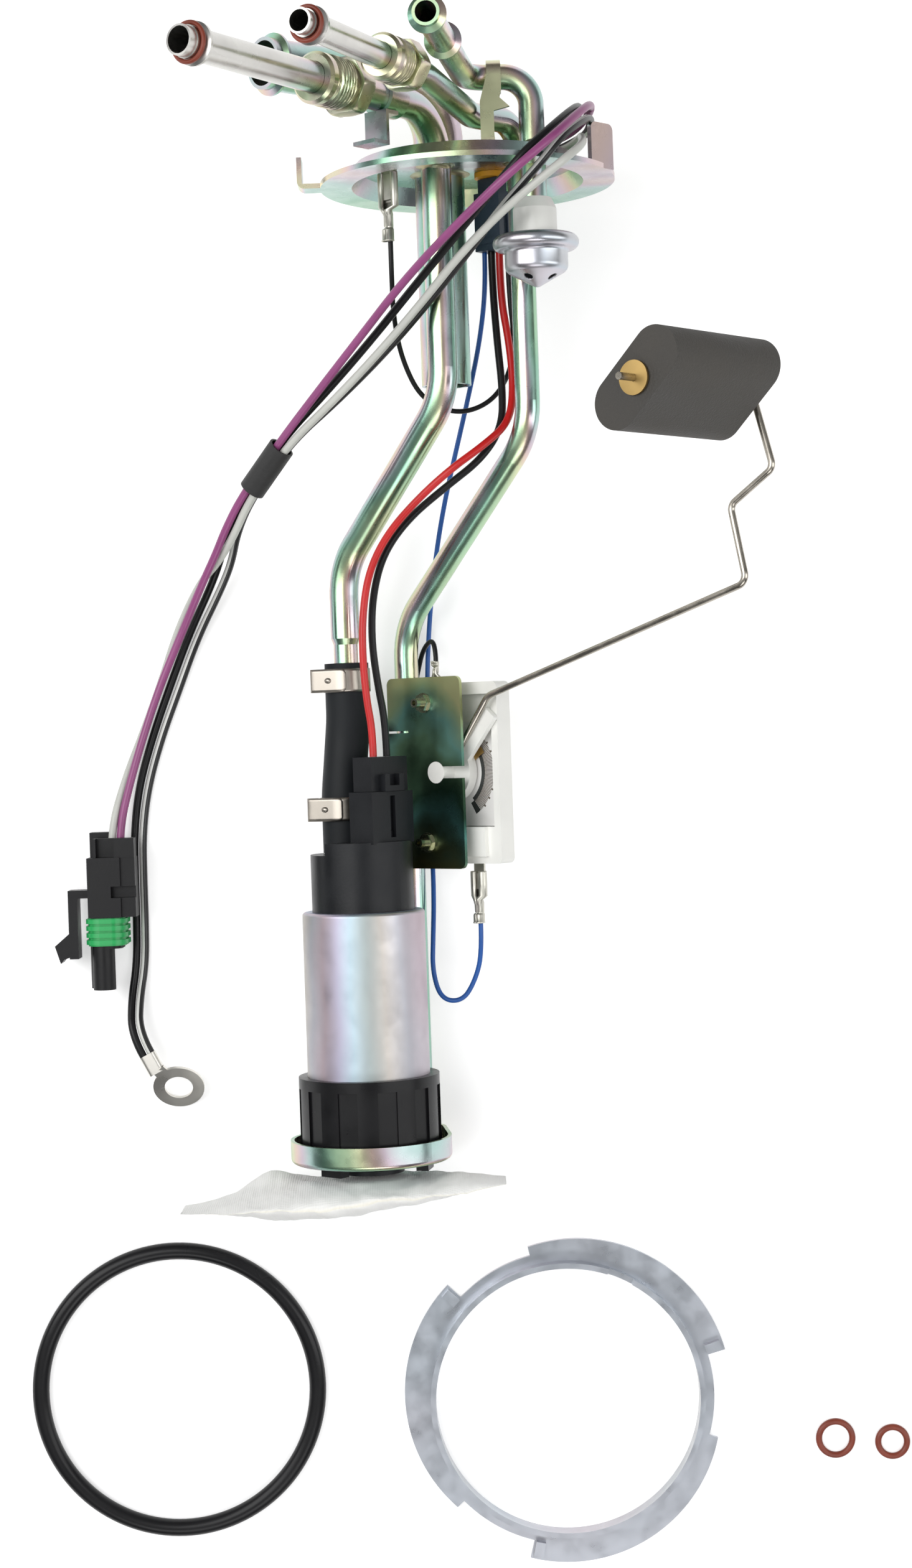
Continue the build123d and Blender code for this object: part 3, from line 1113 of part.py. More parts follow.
def lock_ring():
    """A stamped ring with an upturned collar inside and three ramped wings outside."""
    band = bar(LOCK_BAND_R, LOCK_SHEET)
    wing_span = 88.0

    def at(radius, turn):
        return radius * cos(radians(turn)), radius * sin(radians(turn))

    for wing in range(LOCK_WINGS):
        outer = LOCK_WING_R
        edge = ThreePointArc(at(outer, 0), at(outer - 0.6, wing_span / 2), at(outer - 3.0, wing_span))
        inner = LOCK_BAND_R - 1.5
        back = ThreePointArc(at(inner, wing_span), at(inner, wing_span / 2), at(inner, 0))
        face = make_face([edge, Line(edge @ 1, back @ 0), back, Line(back @ 1, edge @ 0)])
        band += Rot(0, 0, 120 * wing + 15) * extrude(face, LOCK_SHEET)
        tab = Pos(LOCK_BAND_R + 2.4, 0, LOCK_SHEET) * block(5.2, 3.2, 2.2)
        band += Rot(0, 0, 120 * wing + 17.5) * tab
    collar = Pos(0, 0, LOCK_SHEET - 0.1) * bar(LOCK_IN_R + LOCK_SHEET, LOCK_COLLAR_H)
    ring = band + collar
    ring -= bar(LOCK_IN_R, LOCK_COLLAR_H + 2 * LOCK_SHEET)
    notch_z = LOCK_SHEET + LOCK_COLLAR_H - LOCK_NOTCH_H
    notch = Pos(LOCK_IN_R, 0, notch_z) * block(4 * LOCK_SHEET, LOCK_NOTCH_W, 2 * LOCK_NOTCH_H)
    ring -= Rot(0, 0, LOCK_NOTCH_ANGLE) * notch
    return Pos(*LOCK_AT, TABLE_Z) * ring


def spare_o_rings():
    pieces = []
    section = SPARE_SECTION / 2
    for at, pipe_d in ((SPARE_BIG_AT, SUPPLY_D), (SPARE_SMALL_AT, RETURN_D)):
        pieces.append(Pos(*at, TABLE_Z + section) * Torus(pipe_d * SPARE_STRETCH / 2 + section, section))
    return Compound(pieces)


PIECES = {
    "tank_flange": tank_flange,
    "left_tube_bracket": left_tube_bracket,
    "right_tube_bracket": right_tube_bracket,
    "supply_tube": supply_tube,
    "drop_tube": drop_tube,
    "return_tube": return_tube,
    "vent_tube": vent_tube,
    "feedthrough_seal": feedthrough_seal,
    "feedthrough_connector": feedthrough_connector,
    "ground_terminal": ground_terminal,
    "vent_valve_collar": vent_valve_collar,
    "vent_valve_can": vent_valve_can,
    "vent_valve_float": vent_valve_float,
    "fuel_hose": fuel_hose,
    "hose_clamps": hose_clamps,
    "pump_plug": pump_plug,
    "pump_end_cap": pump_end_cap,
    "pump_can": pump_can,
    "pump_magnets": pump_magnets,
    "pump_shaft": pump_shaft,
    "pump_armature": pump_armature,
    "pump_brushes": pump_brushes,
    "pump_chamber": pump_chamber,
    "pump_impeller": pump_impeller,
    "pump_base": pump_base,
    "pump_isolator": pump_isolator,
    "pump_cradle": pump_cradle,
    "strainer_neck": strainer_neck,
    "strainer_sock": strainer_sock,
    "sender_plate": sender_plate,
    "sender_screws": sender_screws,
    "sender_body": sender_body,
    "resistor_card": resistor_card,
    "wiper_carrier": wiper_carrier,
    "wiper_contact": wiper_contact,
    "float_wire": float_wire,
    "float": float_block,
    "float_washer": float_washer,
    "sender_terminals": sender_terminals,
    "connector_housing": connector_housing,
    "connector_seal": connector_seal,
    "connector_latch": connector_latch,
    "ring_terminal": ring_terminal,
    "harness_tape": harness_tape,
    "tank_seal": tank_seal,
    "lock_ring": lock_ring,
    "spare_o_rings": spare_o_rings,
}

for node, make in PIECES.items():
    save(node, make())

supply_nut = tube_nut(SUPPLY_ROUTE, SUPPLY_NUT_AT, SUPPLY_NUT_D, SUPPLY_NUT_HEX, SUPPLY_NUT_L, SUPPLY_D)
return_nut = tube_nut(RETURN_ROUTE, RETURN_NUT_AT, RETURN_NUT_D, RETURN_NUT_HEX, RETURN_NUT_L, RETURN_D)
save("supply_o_ring", nose_ring(SUPPLY_ROUTE, SUPPLY_D))
save("return_o_ring", nose_ring(RETURN_ROUTE, RETURN_D))
save("supply_nut", supply_nut)
save("return_nut", return_nut)

for node, route in HARNESS.items():
    save(node, wire(node, route, HARNESS_D))
for node, (diameter, route) in LEADS.items():
    save(node, wire(node, route, diameter))
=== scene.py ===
import math

import bmesh
import bpy
from mathutils import Matrix, Vector, noise


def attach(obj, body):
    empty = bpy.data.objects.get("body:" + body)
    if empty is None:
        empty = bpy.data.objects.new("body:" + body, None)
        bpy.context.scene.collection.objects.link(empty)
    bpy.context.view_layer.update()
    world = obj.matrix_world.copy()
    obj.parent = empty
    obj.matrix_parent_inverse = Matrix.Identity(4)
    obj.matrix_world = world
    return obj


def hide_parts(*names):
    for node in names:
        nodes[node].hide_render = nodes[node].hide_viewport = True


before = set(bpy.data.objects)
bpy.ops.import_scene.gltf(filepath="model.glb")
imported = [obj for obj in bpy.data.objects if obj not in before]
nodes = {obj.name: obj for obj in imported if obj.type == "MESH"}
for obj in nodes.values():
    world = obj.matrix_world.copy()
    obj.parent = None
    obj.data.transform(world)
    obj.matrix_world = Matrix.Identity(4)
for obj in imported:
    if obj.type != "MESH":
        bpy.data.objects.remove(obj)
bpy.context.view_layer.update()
MM = 0.001


def add_object(name, data):
    piece = bpy.data.objects.new(name, data)
    bpy.context.collection.objects.link(piece)
    return piece


# Camera.
camera_data = bpy.data.cameras.new("camera")
camera_data.lens = 63.64
camera_data.sensor_width = 36.0
camera_data.shift_y = -0.0349
camera_data.clip_start = 0.05
camera = add_object("camera", camera_data)
camera.location = (-0.00966, -0.1744, 0.882)
camera.rotation_euler = (0, 0, math.radians(-2.0))
bpy.context.scene.camera = camera


def add_node(tree, kind, values, **settings):
    """A node whose inputs are each set to a plain value or fed from another node's output."""
    node = tree.nodes.new(kind)
    for name, setting in settings.items():
        setattr(node, name, setting)
    for name, value in values.items():
        if isinstance(value, bpy.types.NodeSocket):
            tree.links.new(value, node.inputs[name])
        else:
            node.inputs[name].default_value = value
    return node


def object_place(tree):
    return tree.nodes.new("ShaderNodeTexCoord").outputs["Object"]


# Wires of the harness and of the pump and sender. Each is stranded copper in a soft, slightly glossy
# covering, and lies along one smooth line from its terminal to its plug. One black wire has a pale stripe.
def wear_group():
    """Cloud is a slow drift over a surface, Grain its fine texture, both about 0.5."""
    group = bpy.data.node_groups.new("drift and grain", "ShaderNodeTree")
    group.interface.new_socket("Cloud Scale", in_out="INPUT", socket_type="NodeSocketFloat")
    group.interface.new_socket("Grain Scale", in_out="INPUT", socket_type="NodeSocketFloat")
    group.interface.new_socket("Cloud", in_out="OUTPUT", socket_type="NodeSocketFloat")
    group.interface.new_socket("Grain", in_out="OUTPUT", socket_type="NodeSocketFloat")
    entry = group.nodes.new("NodeGroupInput")
    leave = group.nodes.new("NodeGroupOutput")
    place = object_place(group)
    for name, detail in (("Cloud", 4.0), ("Grain", 2.0)):
        scale = entry.outputs[name + " Scale"]
        texture = add_node(group, "ShaderNodeTexNoise", {"Vector": place, "Scale": scale, "Detail": detail})
        group.links.new(texture.outputs["Fac"], leave.inputs[name])
    return group


WEAR = wear_group()


def new_material(name, roughness, metallic=0.0):
    material = bpy.data.materials.new(name)
    material.use_nodes = True
    shader = material.node_tree.nodes["Principled BSDF"]
    shader.inputs["Roughness"].default_value = roughness
    shader.inputs["Metallic"].default_value = metallic
    return material, material.node_tree, shader


def wear(tree, cloud_scale, grain_scale):
    values = {"Cloud Scale": cloud_scale, "Grain Scale": grain_scale}
    node = add_node(tree, "ShaderNodeGroup", values, node_tree=WEAR)
    return node.outputs["Cloud"], node.outputs["Grain"]


def colour_ramp(tree, value, stops):
    node = add_node(tree, "ShaderNodeValToRGB", {"Fac": value})
    elements = node.color_ramp.elements
    while len(elements) < len(stops):
        elements.new(0.5)
    for element, (position, colour) in zip(elements, stops):
        element.position = position
        element.color = (*colour, 1)
    return node.outputs["Color"]


def calculate(tree, operation, first, second=0.0):
    return add_node(tree, "ShaderNodeMath", {0: first, 1: second}, operation=operation).outputs["Value"]


def ranged(tree, value, low, high, to_low=0.0, to_high=1.0):
    values = {"Value": value, "From Min": low, "From Max": high, "To Min": to_low, "To Max": to_high}
    return add_node(tree, "ShaderNodeMapRange", values).outputs["Result"]


def set_colour(tree, shader, value, stops):
    tree.links.new(colour_ramp(tree, value, stops), shader.inputs["Base Color"])


def set_roughness(tree, shader, value, low, high):
    tree.links.new(ranged(tree, value, 0.3, 0.7, low, high), shader.inputs["Roughness"])


def set_bump(tree, shader, height, strength, depth):
    node = add_node(tree, "ShaderNodeBump", {"Strength": strength, "Distance": depth, "Height": height})
    tree.links.new(node.outputs["Normal"], shader.inputs["Normal"])


BLACK_BELOW, BLACK_SHEEN = 0.02, 0.22
METAL_CALM = 0.85


def moulded(name, colour, roughness, metallic=0.0, mottle=0.12, cloud=60.0, grain=900.0, depth=0.00004):
    """One colour that drifts a little, with gloss and a fine skin to match."""
    material, tree, shader = new_material(name, roughness, metallic)
    drift, skin = wear(tree, cloud, grain)
    dark = tuple(part * (1 - mottle) for part in colour)
    light = tuple(min(1.0, part * (1 + mottle)) for part in colour)
    set_colour(tree, shader, drift, [(0.35, dark), (0.65, light)])
    set_roughness(tree, shader, drift, roughness - 0.06, roughness + 0.08)
    set_bump(tree, shader, skin, 0.5, depth * (1 - METAL_CALM * metallic))
    if max(colour) < BLACK_BELOW:
        shader.inputs["Specular IOR Level"].default_value = BLACK_SHEEN
    return material


def striped_covering():
    """Black covering with one pale stripe along it, placed by the wire's own UV map."""
    material, tree, shader = new_material("striped_covering", 0.34)
    place = tree.nodes.new("ShaderNodeUVMap")
    split = add_node(tree, "ShaderNodeSeparateXYZ", {"Vector": place.outputs["UV"]})
    away = calculate(tree, "ABSOLUTE", calculate(tree, "SUBTRACT", split.outputs["Y"], STRIPE_AT))
    stripe = calculate(tree, "LESS_THAN", away, STRIPE_HALF_WIDTH)
    set_colour(tree, shader, stripe, [(0.4, (0.010, 0.010, 0.011)), (0.6, (0.62, 0.63, 0.60))])
    drift, skin = wear(tree, 60.0, 900.0)
    set_roughness(tree, shader, drift, 0.28, 0.42)
    set_bump(tree, shader, skin, 0.4, 0.00003)
    return material


STRIPE_AT = 0.25
STRIPE_HALF_WIDTH = 0.075
covering = {
    "purple_wire": moulded("purple_covering", (0.27, 0.060, 0.19), 0.34, mottle=0.06),
    "grey_wire": moulded("pale_covering", (0.54, 0.55, 0.51), 0.36, mottle=0.04),
    "black_wire": moulded("black_covering", (0.010, 0.010, 0.011), 0.32),
    "striped_wire": striped_covering(),
    "red_wire": moulded("red_covering", (0.52, 0.006, 0.006), 0.36, mottle=0.06),
    "blue_wire": moulded("blue_covering", (0.010, 0.090, 0.36), 0.36, mottle=0.08),
}


def wire(name, slot, diameter, points):
    curve = bpy.data.curves.new(name, "CURVE")
    curve.dimensions = "3D"
    curve.twist_mode = "Z_UP"
    curve.bevel_depth = diameter * MM / 2
    curve.bevel_resolution = 4
    curve.resolution_u = 8
    curve.use_fill_caps = True
    spline = curve.splines.new("NURBS")
    spline.points.add(len(points) - 1)
    for point, place in zip(spline.points, points):
        point.co = (*(part * MM for part in place), 1)
    spline.order_u = 3
    spline.use_endpoint_u = True
    curve.materials.append(covering[slot])
    piece = add_object(name + "_covered", curve)
    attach(piece, "module")
    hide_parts(name)


wire("harness_purple", "purple_wire", 2.6, [
    (14.5, 10.4, -7.6), (24.0, 11.5, -7.0), (33.0, 13.5, -1.5), (38.9, 17.2, 8.5), (39.2, 18.4, 22.0),
    (35.0, 13.0, 36.0), (26.7, 4.1, 47.5), (18.4, -3.1, 50.2), (10.2, -9.4, 48.0), (3.4, -14.8, 43.5),
    (-9.6, -24.9, 32.0), (-22.6, -36.2, 20.0), (-36.0, -50.4, 8.4), (-49.4, -64.6, -2.2),
    (-62.4, -79.0, -10.9), (-76.4, -95.8, -20.7), (-82.6, -105.8, -26.0), (-86.8, -114.6, -29.6),
    (-91.4, -122.8, -33.4), (-99.2, -138.3, -40.2), (-107.4, -155.6, -42.5), (-113.6, -172.2, -42.2),
    (-118.6, -188.5, -40.0), (-122.4, -203.5, -38.3), (-122.4, -212.7, -38.3),
])
wire("harness_grey", "grey_wire", 2.6, [
    (14.5, 7.6, -7.6), (24.0, 8.2, -7.0), (32.4, 9.4, -1.5), (36.0, 10.4, 9.0), (35.6, 8.0, 23.0),
    (35.4, 3.0, 36.6), (30.6, -2.4, 45.9), (23.4, -7.9, 46.2), (15.4, -13.4, 42.4), (7.6, -19.0, 36.4),
    (-3.6, -28.2, 26.4), (-17.0, -42.0, 14.2), (-31.6, -56.2, 4.4), (-46.4, -69.4, -3.6),
    (-60.3, -80.7, -10.9), (-74.3, -97.5, -20.7), (-80.2, -108.4, -27.0), (-86.0, -116.4, -33.0),
    (-92.6, -122.6, -37.4), (-101.0, -137.4, -43.2), (-107.6, -155.5, -45.4), (-114.2, -172.0, -45.2),
    (-120.6, -187.6, -42.6), (-125.2, -203.5, -38.3), (-125.2, -212.7, -38.3),
])
wire("harness_black", "black_wire", 2.6, [
    (14.5, 10.4, -10.4), (24.5, 12.3, -10.0), (33.2, 15.6, -5.6), (35.8, 18.6, 5.0), (35.6, 18.8, 18.0),
    (31.0, 13.0, 33.5), (25.0, 6.4, 43.0), (17.6, -0.6, 47.7), (10.6, -7.8, 44.6), (3.8, -14.8, 39.4),
    (-5.8, -24.0, 28.6), (-18.6, -36.6, 16.6), (-32.4, -50.6, 4.6), (-47.2, -64.8, -6.0),
    (-61.7, -78.1, -13.3), (-75.7, -94.9, -23.1), (-81.9, -105.4, -30.0), (-85.6, -115.4, -36.4),
    (-89.4, -123.8, -40.8), (-97.6, -139.3, -45.0), (-104.7, -156.6, -45.4), (-111.0, -173.0, -45.4),
    (-116.2, -189.5, -45.4), (-118.4, -205.0, -45.4), (-118.6, -220.0, -45.4), (-118.6, -235.0, -45.4),
    (-119.0, -249.0, -45.2), (-121.0, -261.6, -42.4), (-120.7, -272.2, -37.9), (-117.05, -279.3, -37.9),
])
wire("harness_striped", "striped_wire", 2.6, [
    (14.5, 7.6, -10.4), (25.0, 8.6, -9.8), (34.6, 12.0, -5.0), (38.8, 12.7, 5.4), (39.2, 14.8, 19.0),
    (34.4, 10.2, 33.0), (28.4, 4.2, 41.5), (22.9, -2.9, 44.6), (15.8, -9.8, 40.4), (8.6, -16.6, 33.6),
    (0.4, -25.4, 23.6), (-13.0, -39.4, 11.8), (-28.0, -54.0, 0.8), (-44.0, -67.6, -8.0),
    (-59.6, -79.8, -13.3), (-73.6, -96.6, -23.1), (-79.3, -107.0, -30.2), (-82.0, -116.6, -36.4),
    (-86.2, -125.2, -40.4), (-94.9, -140.8, -44.4), (-101.7, -157.7, -45.4), (-108.2, -173.8, -45.4),
    (-113.3, -190.2, -45.4), (-115.6, -205.5, -45.4), (-115.8, -220.0, -45.4), (-115.8, -235.0, -45.4),
    (-116.1, -249.0, -45.0), (-118.1, -260.6, -42.2), (-118.2, -270.9, -37.9), (-114.55, -278.0, -37.9),
])
wire("lead_black", "black_wire", 2.4, [
    (7.1, -21.25, -9.8), (7.1, -34.0, -9.8), (7.9, -51.0, -7.0), (9.0, -66.0, -4.6), (8.4, -78.5, -1.6),
    (1.6, -88.8, 2.2), (-10.2, -97.4, 2.2), (-22.4, -106.4, -3.6), (-31.0, -117.0, -9.2),
    (-35.0, -130.0, -12.6), (-36.0, -144.5, -14.4), (-34.5, -159.0, -15.8), (-32.4, -171.5, -16.4),
    (-32.4, -182.35, -16.4),
])
wire("lead_red", "red_wire", 2.4, [
    (9.6, -21.25, -7.6), (9.4, -36.0, -8.2), (11.8, -52.0, -6.2), (12.5, -66.5, -3.8),
    (10.6, -77.5, 1.2), (2.6, -84.8, 6.6), (-8.6, -92.4, 8.0), (-19.4, -101.2, 3.2),
    (-29.4, -111.2, -3.6), (-35.8, -122.6, -8.0), (-38.4, -136.0, -9.6), (-38.9, -150.0, -10.1),
    (-38.1, -164.0, -10.6), (-36.6, -173.5, -11.2), (-36.6, -182.35, -11.2),
])
wire("lead_blue", "blue_wire", 1.6, [
    (4.9, -21.25, -11.7), (4.9, -32.0, -11.7), (2.6, -48.0, -16.4), (-1.0, -63.0, -21.2),
    (-5.6, -80.0, -26.6), (-10.8, -99.0, -32.4), (-14.8, -119.0, -38.2), (-17.3, -138.0, -42.6),
    (-18.7, -156.0, -44.8), (-19.0, -176.0, -45.6), (-19.0, -196.0, -45.2), (-19.0, -214.0, -42.6),
    (-18.9, -230.0, -38.0), (-19.6, -243.0, -34.4), (-20.2, -254.0, -33.1), (-17.6, -263.4, -32.4),
    (-10.4, -264.0, -31.2), (-6.0, -256.6, -29.2), (-3.75, -248.0, -26.1), (-3.75, -238.15, -26.1),
])
wire("lead_ground", "black_wire", 1.6, [
    (-24.9, -20.35, 10.0), (-24.9, -30.5, 10.0), (-25.0, -42.5, 2.0), (-22.8, -56.0, -3.4),
    (-16.8, -68.6, -7.0), (-5.4, -73.4, -9.0), (5.6, -69.6, -10.4), (12.0, -60.0, -11.0),
    (13.4, -48.4, -9.2), (12.1, -36.0, -5.0), (12.1, -21.25, -5.0),
])
wire("lead_sender_ground", "black_wire", 1.6, [
    (-24.4, -166.0, -44.2), (-22.0, -156.0, -43.6), (-19.6, -146.8, -40.4), (-15.5, -143.8, -34.0),
    (-15.5, -151.85, -33.1),
])


# Pipes, flange and brackets. Bent steel tube brazed into a stamped flange, all plated together in
# yellow zinc, whose thin film shifts between straw, pink, violet and green with its thickness; its
# shift with angle is painted sheen, set by the way each surface faces.
def film_group():
    """The film's colour as a turn from 0 to 1: its thickness as a drift over the piece, and painted sheen set
    by the way that it faces.
    """
    group = bpy.data.node_groups.new("film thickness and painted sheen", "ShaderNodeTree")
    for name in ("Drift Scale", "Drift Share", "Painted Sheen Share"):
        group.interface.new_socket(name, in_out="INPUT", socket_type="NodeSocketFloat")
    group.interface.new_socket("Lean", in_out="INPUT", socket_type="NodeSocketVector")
    group.interface.new_socket("Turn", in_out="OUTPUT", socket_type="NodeSocketFloat")
    entry = group.nodes.new("NodeGroupInput")
    leave = group.nodes.new("NodeGroupOutput")
    place = group.nodes.new("ShaderNodeTexCoord")
    texture = add_node(group, "ShaderNodeTexNoise", {
        "Vector": place.outputs["Object"], "Scale": entry.outputs["Drift Scale"],
        "Detail": 2.0, "Distortion": 0.3,
    })
    facing = {0: place.outputs["Normal"], 1: entry.outputs["Lean"]}
    turned = add_node(group, "ShaderNodeVectorMath", facing, operation="DOT_PRODUCT")
    drifted = calculate(group, "MULTIPLY", texture.outputs["Fac"], entry.outputs["Drift Share"])
    # Painted sheen: the film's colour shifted by the way each surface faces, as viewing angle would shift it.
    painted_sheen = calculate(group, "MULTIPLY", turned.outputs["Value"], entry.outputs["Painted Sheen Share"])
    total = calculate(group, "FRACT", calculate(group, "ADD", drifted, painted_sheen))
    group.links.new(total, leave.inputs["Turn"])
    return group


FILM_AND_SHEEN = film_group()


def film_and_sheen_turn(tree, drift_scale=14.0, drift_share=1.5, turn_share=1.1, lean=(0.6, 0.2, 0.4)):
    values = {"Drift Scale": drift_scale, "Drift Share": drift_share, "Painted Sheen Share": turn_share, "Lean": lean}
    return add_node(tree, "ShaderNodeGroup", values, node_tree=FILM_AND_SHEEN).outputs["Turn"]


def plated(name, stops, roughness, depth=0.000008, **film):
    material, tree, shader = new_material(name, roughness, 1.0)
    # The colour follows the film's drift and its painted sheen, which is set by the way each surface faces.
    set_colour(tree, shader, film_and_sheen_turn(tree, **film), stops)
    drift, skin = wear(tree, 150.0, 800.0)
    set_roughness(tree, shader, drift, roughness - 0.06, roughness + 0.1)
    set_bump(tree, shader, skin, 0.4, depth)
    return material


YELLOW_ZINC = [
    (0.00, (0.38, 0.50, 0.32)), (0.15, (0.58, 0.60, 0.38)), (0.28, (0.62, 0.48, 0.42)),
    (0.40, (0.52, 0.44, 0.50)), (0.52, (0.38, 0.52, 0.50)), (0.68, (0.26, 0.48, 0.36)),
    (0.84, (0.36, 0.54, 0.36)), (1.00, (0.38, 0.50, 0.32)),
]
yellow_zinc = plated("yellow_zinc", YELLOW_ZINC, 0.26)


def finish(material, *names):
    for name in names:
        slots = nodes[name].data.materials
        slots.clear()
        slots.append(material)


finish(yellow_zinc, "tank_flange", "left_tube_bracket", "right_tube_bracket", "drop_tube", "vent_tube",
       "pump_cradle")


def run_along(tree, origin, way):
    """How far a point lies from an origin along a direction, in metres."""
    shift = add_node(tree, "ShaderNodeVectorMath", {0: object_place(tree), 1: origin}, operation="SUBTRACT")
    ways = {0: shift.outputs["Vector"], 1: way}
    return add_node(tree, "ShaderNodeVectorMath", ways, operation="DOT_PRODUCT").outputs["Value"]


def blend(tree, factor, first, second):
    mix = add_node(tree, "ShaderNodeMix", {"Factor": factor, "A": first, "B": second}, data_type="RGBA")
    return mix.outputs["Result"]


FADE_BEFORE, FADE_AFTER = 8, 6


def nose_zinc(name, tip, knee, bare):
    """Yellow zinc whose first stretch, inside the coupling, is bare bright steel."""
    material, tree, shader = new_material(name, 0.26, 1.0)
    way = (Vector(knee) - Vector(tip)).normalized()
    run = run_along(tree, Vector(tip) * MM, way)
    plating = ranged(tree, run, (bare - FADE_BEFORE) * MM, (bare + FADE_AFTER) * MM)
    drift, skin = wear(tree, 90.0, 800.0)
    steel = colour_ramp(tree, drift, [(0.3, (0.50, 0.49, 0.47)), (0.7, (0.66, 0.65, 0.62))])
    # The zinc beyond the bare stretch carries the film's painted sheen, set by the way each surface faces.
    zinc = colour_ramp(tree, film_and_sheen_turn(tree), YELLOW_ZINC)
    tree.links.new(blend(tree, plating, steel, zinc), shader.inputs["Base Color"])
    set_roughness(tree, shader, drift, 0.18, 0.32)
    set_bump(tree, shader, skin, 0.4, 0.000008)
    return material


SUPPLY_TIP, SUPPLY_KNEE = (-80.5, 21.2, 106.7), (-9.8, 21.2, 5.0)
RETURN_TIP, RETURN_KNEE = (-46.0, 21.7, 121.0), (-12.5, 21.0, 56.0)
finish(nose_zinc("supply_pipe_zinc", SUPPLY_TIP, SUPPLY_KNEE, 52.0), "supply_tube")
finish(nose_zinc("return_pipe_zinc", RETURN_TIP, RETURN_KNEE, 40.0), "return_tube")


# Brazed joints. Where each pipe passes through the flange a ring of filler metal has run round it,
# a little uneven, and has taken a browner tone than the plating beside it.
def mesh_piece(name, body, material, build, smooth=True):
    """Makes an object from a function that fills a bmesh in millimetres."""
    shape = bmesh.new()
    build(shape)
    bmesh.ops.remove_doubles(shape, verts=shape.verts, dist=0.0005)
    bmesh.ops.recalc_face_normals(shape, faces=shape.faces)
    bmesh.ops.scale(shape, vec=(MM, MM, MM), verts=shape.verts)
    mesh = bpy.data.meshes.new(name)
    shape.to_mesh(mesh)
    shape.free()
    for polygon in mesh.polygons:
        polygon.use_smooth = smooth
    mesh.materials.append(material)
    piece = add_object(name, mesh)
    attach(piece, body)
    return piece


def add_grid(shape, rows, around=False, closed=False):
    """Faces between rows of points; around joins each row's ends, closed joins the last row to the first."""
    made = [[shape.verts.new(point) for point in row] for row in rows]
    count = len(made[0])
    pairs = list(zip(made, made[1:]))
    if closed:
        pairs.append((made[-1], made[0]))
    for here, there in pairs:
        for i in range(count if around else count - 1):
            j = (i + 1) % count
            shape.faces.new((here[i], here[j], there[j], there[i]))
    return made


def axes_at(origin, along, across):
    """A matrix whose Z runs along a direction and whose X lies near another."""
    z = Vector(along).normalized()
    x = (Vector(across) - Vector(across).dot(z) * z).normalized()
    y = z.cross(x)
    place = Matrix((x, y, z)).transposed().to_4x4()
    place.translation = Vector(origin)
    return place


def polar(radius, turn):
    return radius * math.cos(turn), radius * math.sin(turn)


PIPE_JOINTS = ((-9.8, 5.0, 4.765), (-8.8, -9.5, 7.95), (16.6, 4.5, 3.97), (20.3, 23.0, 3.97))
FLANGE_FACES = ((3.8, -1), (5.4, 1))
FILLET_REACH, FILLET_RISE = 1.7, 1.5
INSIDE, BELOW = 0.4, 0.2
JOINT_STEPS = 48


def build_brazing(shape):
    for x, z, r in PIPE_JOINTS:
        for level, side in FLANGE_FACES:
            rows = []
            for i in range(JOINT_STEPS):
                turn = math.tau * i / JOINT_STEPS
                wave = noise.noise(Vector((x + 3 * math.cos(turn), level, z + 3 * math.sin(turn))) * 0.6)
                reach = FILLET_REACH + 0.7 * wave
                rise = FILLET_RISE + 0.8 * wave
                section = []
                for k in range(6):
                    bend = math.pi / 2 * k / 5
                    section.append((r - 0.05 + reach * (1 - math.sin(bend)), rise * (1 - math.cos(bend))))
                section += [(r - INSIDE, rise), (r - INSIDE, -BELOW), (r + reach, -BELOW)]
                row = []
                for out, up in section:
                    away_x, away_z = polar(out, turn)
                    row.append((x + away_x, level + side * up, z + away_z))
                rows.append(row)
            add_grid(shape, rows, around=True, closed=True)


filler_metal = plated("filler_metal", [
    (0.0, (0.34, 0.32, 0.20)), (0.35, (0.46, 0.40, 0.26)), (0.7, (0.30, 0.36, 0.24)),
    (1.0, (0.34, 0.32, 0.20)),
], 0.36, depth=0.00006, drift_scale=60.0)
mesh_piece("brazed_joints", "module", filler_metal, build_brazing)


# Male tube nuts. Turned from hexagon bar and plated: a plain lead, a groove, a rolled thread
# and a hexagon behind it. Each turns on its pipe, behind the bead that it pushes on.
NUT_AROUND, THREAD_STEPS = 96, 76
LEAD_END, GROOVE_FROM, GROOVE_END, THREAD_FROM = 2.9, 3.1, 4.1, 4.3
RUN_OUT, FADE = 1.2, 0.8
HEX_L = 6.0
PITCH = 1.27


